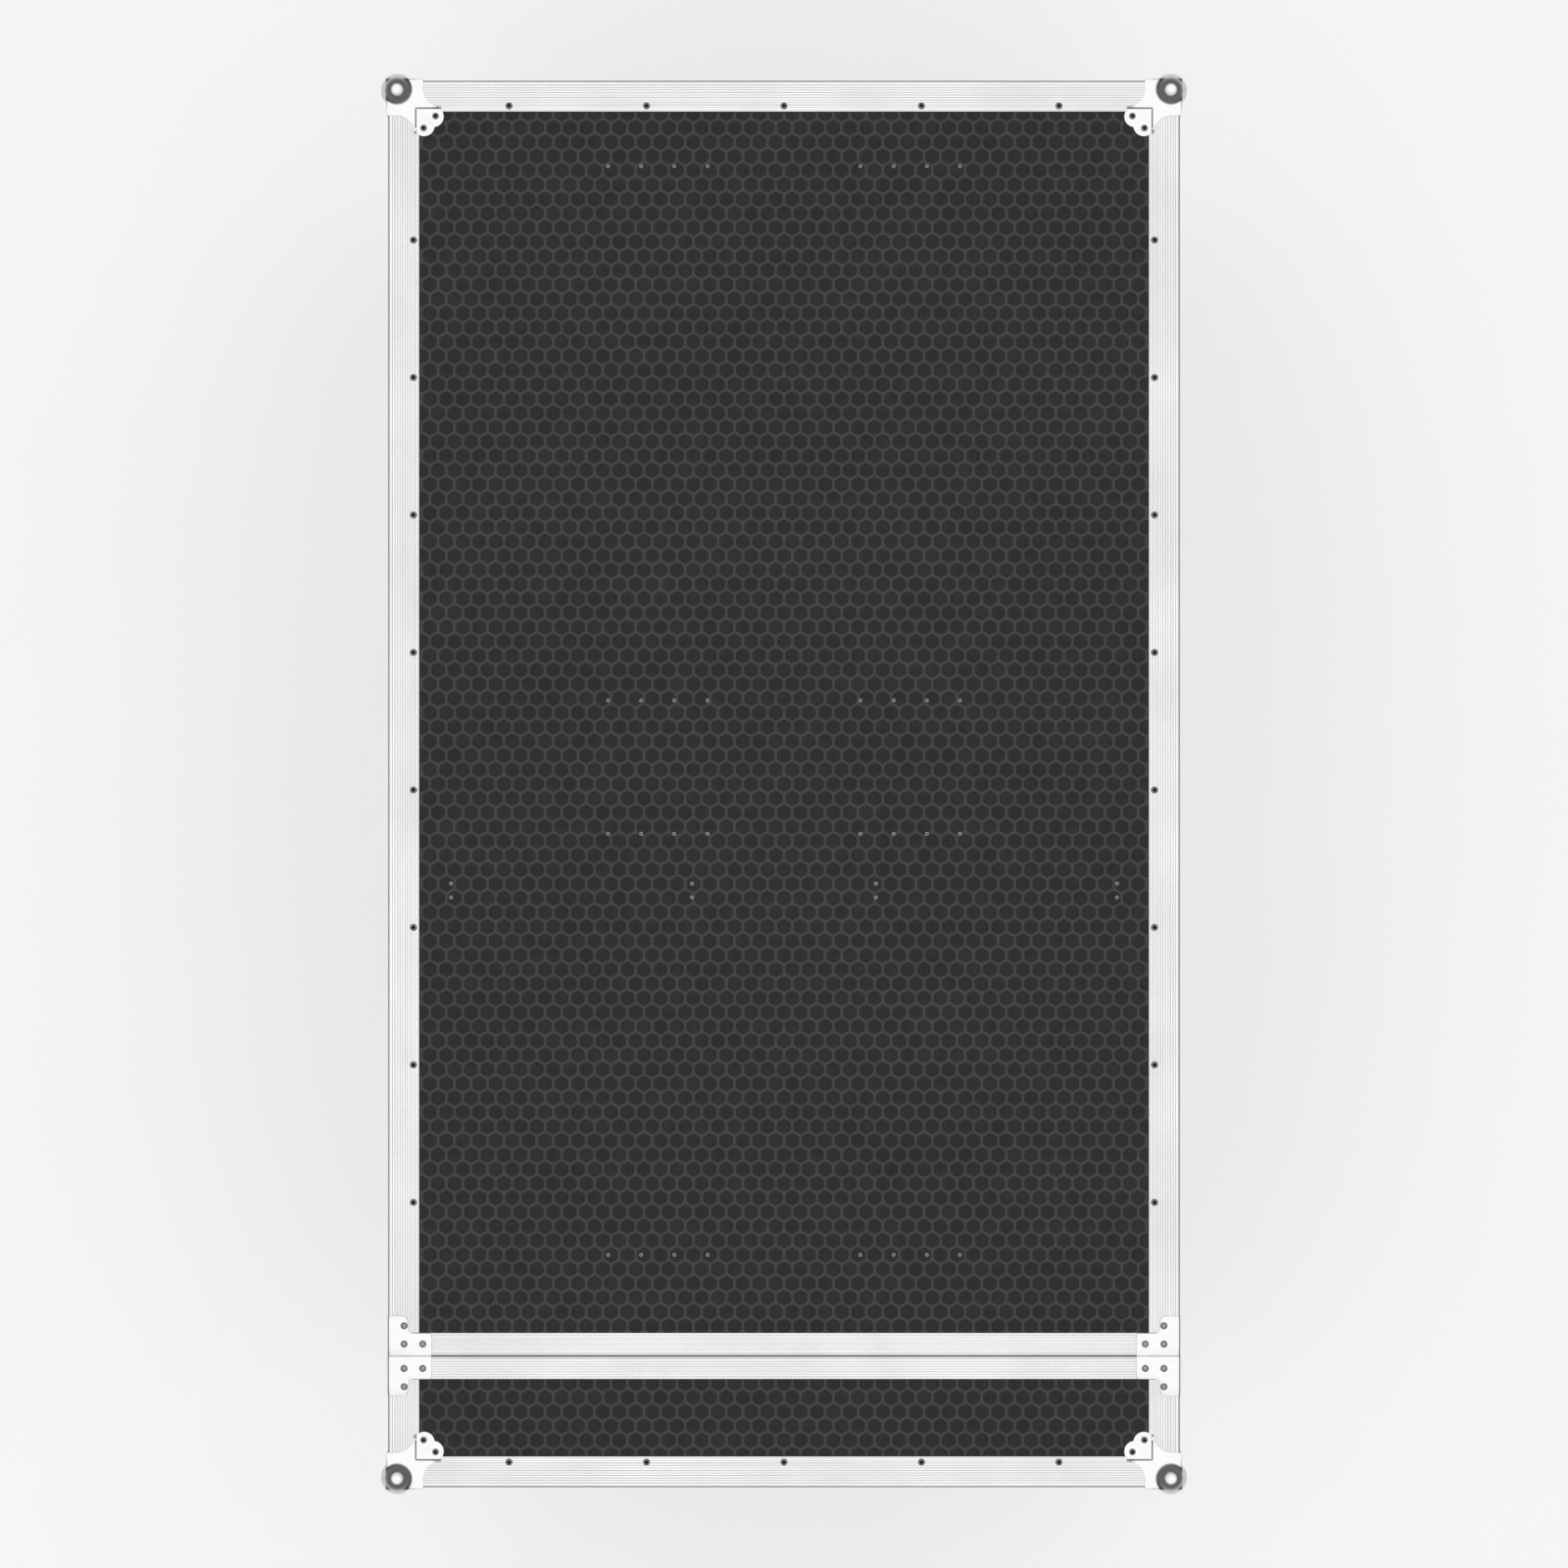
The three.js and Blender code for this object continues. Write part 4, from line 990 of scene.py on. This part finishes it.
def plywood_finish(name, thin_axis):
    """Lacquered birch: long pale grain on the faces, dark glue lines between plies on the edges.

    The grain runs along X, and the plies lie across the thin axis.
    """
    material, tree, shader = new_material(name, Specular_IOR_Level=0.35)
    place = node(tree, "TexCoord").outputs["Object"]
    stretch = [1.6, 14.0, 14.0]
    stretch[thin_axis] = 90.0
    grain = noise(tree, place, tuple(4 * s for s in stretch), 6.0, 0.6)
    figure = noise(tree, place, tuple(stretch), 3.0)
    colour = blended(tree, grain, (0.42, 0.345, 0.255), (0.56, 0.475, 0.365))
    colour = blended(tree, span(tree, figure, 0.35, 0.65, 0.0, 0.5), colour, (0.33, 0.26, 0.18))
    ply = node(tree, "SeparateXYZ", {0: place}).outputs[thin_axis]
    turn = node(tree, "Math", {0: ply, 1: 2 * math.pi / ply_thickness},
                operation="MULTIPLY").outputs[0]
    wave = node(tree, "Math", {0: turn}, operation="SINE").outputs[0]
    normal = node(tree, "SeparateXYZ",
                  {0: node(tree, "TexCoord").outputs["Normal"]}).outputs[thin_axis]
    flatness = node(tree, "Math", {0: normal}, operation="ABSOLUTE").outputs[0]
    shares = {0: span(tree, wave, 0.2, 0.9, 0.0, 1.0), 1: span(tree, flatness, 0.3, 0.7, 0.55, 0.0)}
    glue = node(tree, "Math", shares, operation="MULTIPLY").outputs[0]
    tree.links.new(blended(tree, glue, colour, (0.16, 0.085, 0.04)), shader.inputs["Base Color"])
    tree.links.new(span(tree, grain, 0.3, 0.7, 0.42, 0.60), shader.inputs["Roughness"])
    relief(tree, shader, grain, 0.00008)
    return material


softened("stop_board", "_plywood", plywood_finish("stop_board_birch", 1), 0.0006)

# ---- Latches ----
# Four recessed butterfly latches close the case. Each is a zinc-plated dish riveted over the joint
# of body and lid in two halves, with a wing that turns on a pin and draws a hook over a bar.

zinc = steel_finish("zinc_plate", (0.56, 0.57, 0.585), (0.74, 0.75, 0.76), 0.24, 0.40)
wing_half_length = 0.026
wing_half_width = 0.0150
wing_waist = 0.0080
flange_face = 0.0003
flange_middle = 0.0451
dish_rivet_y = split_y + np.array([0.030, 0.058])
dish_end_y = [split_y + 0.0743]
keeper_rivet_y = [split_y - 0.0145]
keeper_end_y = [split_y - 0.0383]
end_spread = np.array([-0.025, 0.025])
plate_edge = 0.0003
blade_rings = 41
blade_columns = 15


def wing_shape(thickness):
    """A butterfly wing along x: rings round its section, wide at both ends, waisted in the middle.

    The half width grows from the waist to the ends as a smooth step, and rounds off at the tips.
    The upper face is hollow between raised rims, by a fourth power across.
    """
    s = np.sin(np.linspace(-0.5, 0.5, blade_rings) * np.pi)
    grow = np.clip((abs(s) - 0.15) / 0.55, 0, 1)
    half = wing_waist + (wing_half_width - wing_waist) * grow ** 2 * (3 - 2 * grow)
    half = half * np.sqrt(1 - np.clip((abs(s) - 0.86) / 0.16, 0, 1) ** 2)
    t = np.linspace(-1, 1, blade_columns)
    hollow = 0.45 * (1 - t ** 4)[None] * np.clip((abs(s) - 0.34) / 0.2, 0, 1)[:, None]
    top = thickness * (1 - hollow * np.clip((1 - abs(s)) / 0.1, 0, 1)[:, None])
    x = np.repeat(s[:, None] * wing_half_length, blade_columns, axis=1)
    upper = np.stack([x, half[:, None] * t[None] * 0.97, top], axis=-1)
    lower = np.stack([x, half[:, None] * t[None], np.zeros_like(x)], axis=-1)[:, ::-1]
    return grid(np.concatenate([upper, lower], axis=1), wrap=True, caps=True)


for side_name, side in sides.items():
    for level_name, level in levels.items():
        place_name = f"{side_name}_{level_name}"
        for plate in ("latch_dish", "keeper", "latch_hook"):
            softened(f"{plate}_{place_name}", "_plated", zinc, plate_edge)
        low, high = np.array(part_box(f"latch_wing_{place_name}"))
        middle = (low + high) / 2
        inner_x = low[0] if side > 0 else high[0]
        wing = placed(wing_shape(high[0] - low[0]), (inner_x, middle[1], middle[2]),
                      ((0, 1, 0), (0, 0, 1), (side, 0, 0)))
        piece = new_piece(f"latch_wing_{place_name}_blades", wing, zinc, f"latch_wing_{place_name}",
                          "zinc_plate", smooth=40)
        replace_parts(piece, f"latch_wing_{place_name}")
        face_x = [side * (side_x - flange_face)]
        flange_z = [middle[2] - flange_middle, middle[2] + flange_middle]
        end_z = middle[2] + end_spread
        for title, rivet_y, end_y, body in [("latch", dish_rivet_y, dish_end_y, "case"),
                                            ("keeper", keeper_rivet_y, keeper_end_y, "lid")]:
            rows = [(0, side, every(face_x, rivet_y, flange_z)),
                    (0, side, every(face_x, end_y, end_z))]
            rivet_set(f"{title}_rivets_{place_name}", panel_rivet, rows, body)

# ---- Handles ----
# Each side has two recessed handles. A steel bail turns in the lugs of a zinc-plated dish, and a
# moulded rubber grip is pushed over its middle. A spring holds the bail down in the dish.

bail_depth = 0.0082
bail_rod = 0.0040
bail_reach = 0.0620
bail_arm = 0.0500
bail_turn = 0.0080
bail_bend = 0.0160
bail_pivot = 0.0310
bail_drop = 0.0520
grip_radius = 0.0073
grip_half = 0.0430
grip_ribs = 14
grip_end = 0.003
rib_depth = 0.0006


def tube(path, radius, count=16):
    """A rod of round section along a path in the plane x = 0, with its ends capped."""
    ahead = np.gradient(path, axis=0)
    ahead /= np.linalg.norm(ahead, axis=1, keepdims=True)
    turn = 2 * np.pi * np.arange(count) / count
    off = radius * np.cos(turn)
    points = np.stack([
        np.broadcast_to(radius * np.sin(turn), (len(path), count)),
        path[:, :1] - ahead[:, 1:] * off, path[:, 1:] + ahead[:, :1] * off,
    ], axis=-1)
    return grid(points, wrap=True, caps=True)


def bail_path():
    """The rod's line in the dish's plane: in from a lug, down the arm, along the grip, back up."""
    low = bail_pivot - bail_drop
    half = np.concatenate([
        [(-bail_reach, bail_pivot)],
        round_points((-bail_arm - bail_turn, bail_pivot - bail_turn), bail_turn, 90, 0, 7),
        round_points((-bail_arm + bail_bend, low + bail_bend), bail_bend, 180, 270, 10),
    ])
    return np.concatenate([half, half[::-1] * [-1, 1]])


def grip_profile():
    """The grip's (radius, height) profile: a cylinder with shallow waves and rounded ends."""
    wave = np.linspace(0, 1, 8 * grip_ribs + 1)
    height = (2 * wave - 1) * (grip_half - grip_end)
    radius = grip_radius - rib_depth / 2 * (1 - np.cos(2 * np.pi * grip_ribs * wave))
    end = round_points((grip_radius - grip_end, -grip_half + grip_end), grip_end, -90, 0, 5)
    start = np.concatenate([[(bail_rod, -grip_half)], end[:-1]])
    return np.concatenate([start, np.stack([radius, height], axis=1), start[::-1] * [1, -1]])


def rubber_finish():
    """Matt black rubber, with a fine moulded grain and pale scuffs in patches."""
    material, tree, shader = new_material("grip_rubber", Specular_IOR_Level=0.3)
    place = node(tree, "TexCoord").outputs["Object"]
    scuff = span(tree, noise(tree, place, 160.0, 5.0, 0.7), 0.55, 0.8, 0.0, 0.5)
    colour = blended(tree, scuff, (0.011, 0.011, 0.012), (0.045, 0.045, 0.045))
    tree.links.new(colour, shader.inputs["Base Color"])
    tree.links.new(span(tree, scuff, 0.0, 0.5, 0.62, 0.80), shader.inputs["Roughness"])
    relief(tree, shader, noise(tree, place, 1200.0, 3.0), 0.00006)
    return material


rubber = rubber_finish()
flange_rivets = np.concatenate([every([0.0], [-0.0735, 0.0735], [-0.038, 0.0, 0.038]),
                                every([0.0], [-0.045, 0.0, 0.045], [-0.0495, 0.0495])])
for side_name, side in sides.items():
    for end_name in ends:
        place_name = f"{side_name}_{end_name}"
        low, high = np.array(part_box(f"handle_dish_{place_name}"))
        middle = (low + high) / 2
        softened(f"handle_dish_{place_name}", "_plated", zinc, plate_edge)
        origin = (side * (side_x - bail_depth), middle[1], middle[2])
        rod = placed(tube(bail_path(), bail_rod), origin, ((side, 0, 0), (0, 1, 0), (0, 0, 1)))
        body = f"handle_bail_{place_name}"
        piece = new_piece(body + "_rod", rod, zinc, body, "zinc_plate", smooth=40)
        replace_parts(piece, body)
        grip_at = (origin[0], origin[1], origin[2] + bail_pivot - bail_drop)
        grip = placed(turned(grip_profile(), 32), grip_at, ((0, 0, 1), (1, 0, 0), (0, 1, 0)))
        new_piece(body + "_grip", grip, rubber, body, "handle_grip", smooth=50)
        heads = flange_rivets + [side * (side_x - flange_face), middle[1], middle[2]]
        rivet_set(f"handle_rivets_{place_name}", panel_rivet, [(0, side, heads)], "case")

# ---- Castor board ----
# A lacquered birch plywood board is screwed under the floor to carry the castors. Each castor's
# steel top plate is bolted to it with four bolts, and holds the upper race and the king bolt.

board_low, board_high = np.array(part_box("castor_board"))
castor_plate = 0.003
castor_plate_half = (0.0525, 0.0425)
castor_plate_round = 0.008
swivel_inset = 0.030
race_radius = 0.027
race_height = 0.008
king_bolt = 0.005
race_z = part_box("castor_fork_front_left")[1][2] + 0.0003
plate_z = race_z + race_height
ply_bottom = plate_z + castor_plate


def rounded_plate(half, radius, low, high, edge=0.0006):
    """A flat plate with round corners: stacked loops, drawn in a little at both faces' edges."""
    quarter = round_points((half[0] - radius, half[1] - radius), radius, 0, 90, 7)
    loop = np.concatenate([quarter, quarter[::-1] * [-1, 1], -quarter, quarter[::-1] * [1, -1]])
    drawn = loop * (1 - edge / np.array(half))
    return grid(np.stack([at_depth(drawn, low), at_depth(loop, low + edge),
                          at_depth(loop, high - edge), at_depth(drawn, high)]),
                wrap=True, caps=True)


board_half = (board_high - board_low)[:2] / 2
board_middle = (board_low + board_high) / 2
timber = placed(rounded_plate(board_half, 0.004, ply_bottom, board_high[2], 0.0012),
                (board_middle[0], board_middle[1], 0), np.eye(3))
piece = new_piece("castor_board_plywood", timber, plywood_finish("castor_board_birch", 2), "case",
                  "birch_plywood", smooth=40)
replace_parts(piece, "castor_board")


def castor_head():
    """A top plate with its race, king bolt and nut, and four bolts with washers, at the swivel."""
    plate = rounded_plate(castor_plate_half, castor_plate_round, plate_z, ply_bottom - 0.0001)
    race = np.array([(race_radius - 0.002, race_z), (race_radius, race_z + 0.002),
                     (race_radius, race_z + 0.005), (race_radius + 0.004, plate_z + 0.0005)])
    pin = np.array([(king_bolt, race_z - 0.0055), (king_bolt, race_z + 0.002)])
    nut = turned(np.array([(0.0078, -0.0030), (0.0085, -0.0022), (0.0085, 0.0)]), 6)
    bolt = turned(np.array([(0.0058, -0.0055), (0.0064, -0.0048), (0.0064, 0.0002)]), 6)
    washer = turned(np.array([(0.0075, -0.0012), (0.0080, -0.0008), (0.0080, 0.0002)]), 24)
    bolts = every([-0.040, 0.040], [-0.030, 0.030], [plate_z])
    return joined([plate, turned(race, 40), turned(pin, 24), repeated(bolt, bolts),
                   repeated(washer, bolts), placed(nut, (0, 0, race_z - 0.0053), np.eye(3))])


for end_name in ends:
    for side_name in sides:
        low, high = np.array(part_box(f"castor_fork_{end_name}_{side_name}"))
        swivel = ((low[0] + high[0]) / 2, low[1] + swivel_inset, 0)
        new_piece(f"castor_plate_{end_name}_{side_name}",
                  placed(castor_head(), swivel, np.eye(3)), zinc,
                  "case", "zinc_plate", smooth=40)

# ---- Castor forks ----
# Each castor's fork is pressed from 3 mm steel sheet and zinc plated. It swivels on the balls under
# the top plate, trails behind its swivel, and holds the wheel's axle between two nuts.

for end_name in ends:
    for side_name in sides:
        softened(f"castor_fork_{end_name}_{side_name}", "_pressed", zinc, 0.0008, 3)

# ---- Castor wheels ----
# A blue elastic rubber tyre is moulded on a grey nylon core with a ball bearing at its hub. The
# core's web has eight ribs, and a round guard covers the bearing on each side.

tyre_radius = 0.0499
tyre_half = 0.0159
tyre_inner = 0.0365
hub_radius = 0.0140
hub_half = 0.0169
axle_radius = 0.0064
wheel_sides = 64
spoke_count = 8
spoke_start = 0.0145
spoke_end = 0.0335
spoke_foot = 0.004
spoke_rings = 8


def tyre_profile():
    """The tyre's section: a crowned tread, round shoulders, a side groove, a bead on the core."""
    shoulder = 0.005
    half = np.concatenate([
        [(tyre_inner, tyre_half - 0.002), (tyre_inner + 0.001, tyre_half - 0.0005),
         (0.0398, tyre_half - 0.0004), (0.0404, tyre_half - 0.0012), (0.0410, tyre_half - 0.0004)],
        round_points((tyre_radius - shoulder - 0.0006, tyre_half - shoulder), shoulder, 90, 20, 6),
        [(tyre_radius - 0.0002, 0.005)],
    ])
    return np.concatenate([half, half[::-1] * [1, -1]])


def core_profile():
    """The core's section: rim, thin web and hub, fillets as short slopes, round the axle's bore."""
    half = np.array([
        (tyre_inner - 0.0001, tyre_half - 0.0022), (tyre_inner - 0.0016, tyre_half - 0.0014),
        (0.0335, tyre_half - 0.0022), (0.0325, 0.0070), (0.0300, 0.0050), (0.0190, 0.0050),
        (0.0160, 0.0075), (hub_radius + 0.0004, hub_half - 0.0012), (hub_radius - 0.0010, hub_half),
        (0.0088, hub_half), (0.0084, hub_half - 0.0015), (axle_radius, hub_half - 0.0015),
    ])
    return np.concatenate([half, half[::-1] * [1, -1]])


def spoke(height):
    """One rib of the web along x: a plate that tapers to its crown, from the hub to the rim."""
    x = np.linspace(spoke_start, spoke_end, spoke_rings)
    crown = height * (0.72 + 0.28 * abs(np.linspace(-1, 1, spoke_rings)))
    foot = np.full(spoke_rings, spoke_foot)
    ring = [(-0.0014, foot), (-0.0009, crown), (0.0009, crown), (0.0014, foot)]
    points = np.stack([np.stack([x, np.full(spoke_rings, y), z], axis=1) for y, z in ring], axis=1)
    return grid(points, wrap=True, caps=True)


def moulded_finish(name, dark, light, grime, low_rough, high_rough):
    """A moulded tyre or core: an even colour, a cloudy bloom, dust in patches and fine scuffs."""
    material, tree, shader = new_material(name, Specular_IOR_Level=0.4)
    place = node(tree, "TexCoord").outputs["Object"]
    colour = blended(tree, noise(tree, place, 40.0, 4.0), dark, light)
    dust = span(tree, noise(tree, place, 110.0, 6.0, 0.7), 0.52, 0.78, 0.0, 0.6)
    tree.links.new(blended(tree, dust, colour, grime), shader.inputs["Base Color"])
    tree.links.new(span(tree, dust, 0.0, 0.6, low_rough, high_rough), shader.inputs["Roughness"])
    relief(tree, shader, noise(tree, place, 900.0, 3.0), 0.00005)
    return material


tyre_rubber = moulded_finish("tyre_rubber", (0.010, 0.060, 0.26), (0.018, 0.090, 0.36),
                             (0.12, 0.13, 0.15), 0.48, 0.70)
core_nylon = moulded_finish("core_nylon", (0.20, 0.21, 0.22), (0.29, 0.30, 0.31),
                            (0.12, 0.12, 0.12), 0.40, 0.60)
spokes = []
for k in range(spoke_count):
    turn = 2 * math.pi * k / spoke_count
    ahead, beside = (math.cos(turn), math.sin(turn), 0), (-math.sin(turn), math.cos(turn), 0)
    for face in (-1, 1):
        spokes.append(placed(spoke(tyre_half - 0.0030), (0, 0, 0), (ahead, beside, (0, 0, face))))
for end_name in ends:
    for side_name in sides:
        body = f"castor_wheel_{end_name}_{side_name}"
        low, high = np.array(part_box(body))
        middle = (low + high) / 2
        axes = ((0, 1, 0), (0, 0, 1), (1, 0, 0))
        tyre = placed(turned(tyre_profile(), wheel_sides, ring=True), middle, axes)
        piece = new_piece(body + "_tyre", tyre, tyre_rubber, body, "castor_tyre", smooth=40)
        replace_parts(piece, body)
        core = placed(joined([turned(core_profile(), wheel_sides, ring=True), *spokes]),
                      middle, axes)
        new_piece(body + "_core", core, core_nylon, body, "castor_tyre", smooth=35)

# ---- Stage, light and camera ----
# A plain pale floor under a soft studio sky that is brightest overhead. The camera hangs over the
# middle of the case and looks straight down, with the lid at the bottom of its picture.

floor_half = 9.0
corner = np.array([[-1, -1], [1, -1], [1, 1], [-1, 1]]) * floor_half
floor_mesh = bpy.data.meshes.new("studio_floor")
floor_mesh.from_pydata([(x, y, 0.0) for x, y in corner], [], [(0, 1, 2, 3)])
studio_floor = bpy.data.objects.new("studio_floor", floor_mesh)
bpy.context.scene.collection.objects.link(studio_floor)
floor_paint, tree, shader = new_material("floor_paint", Roughness=0.9, Specular_IOR_Level=0.1,
                                         Emission_Color=(1.0, 1.0, 1.0, 1.0),
                                         Emission_Strength=0.45)
place = node(tree, "TexCoord").outputs["Object"]
tint = blended(tree, noise(tree, place, 3.0, 3.0), (0.82, 0.82, 0.82), (0.85, 0.85, 0.85))
tree.links.new(tint, shader.inputs["Base Color"])
floor_mesh.materials.append(floor_paint)

sky = bpy.data.worlds.new("studio_sky")
sky.use_nodes = True
bpy.context.scene.world = sky
tree = sky.node_tree
upward = node(tree, "SeparateXYZ", {0: node(tree, "TexCoord").outputs["Generated"]}).outputs["Z"]
glow = node(tree, "ValToRGB", {"Fac": upward})
stops = [(0.0, 0.85), (0.10, 0.60), (0.30, 0.22), (0.70, 0.18), (0.84, 1.05), (1.0, 1.12)]
while len(glow.color_ramp.elements) < len(stops):
    glow.color_ramp.elements.new(0.5)
for element, (at, value) in zip(glow.color_ramp.elements, stops):
    element.position = at
    element.color = (value, value, value, 1.0)
background = tree.nodes["Background"]
tree.links.new(glow.outputs["Color"], background.inputs["Color"])
background.inputs["Strength"].default_value = 1.0

picture_width = 1.504
camera_height = 3.9
sensor = 36.0
lens = bpy.data.cameras.new("camera")
lens.sensor_width = sensor
lens.lens = sensor * camera_height / picture_width
camera = bpy.data.objects.new("camera", lens)
camera.location = (0.0, 0.0, top_z + camera_height)
bpy.context.scene.collection.objects.link(camera)
bpy.context.scene.camera = camera
bpy.context.scene.view_settings.view_transform = "Standard"
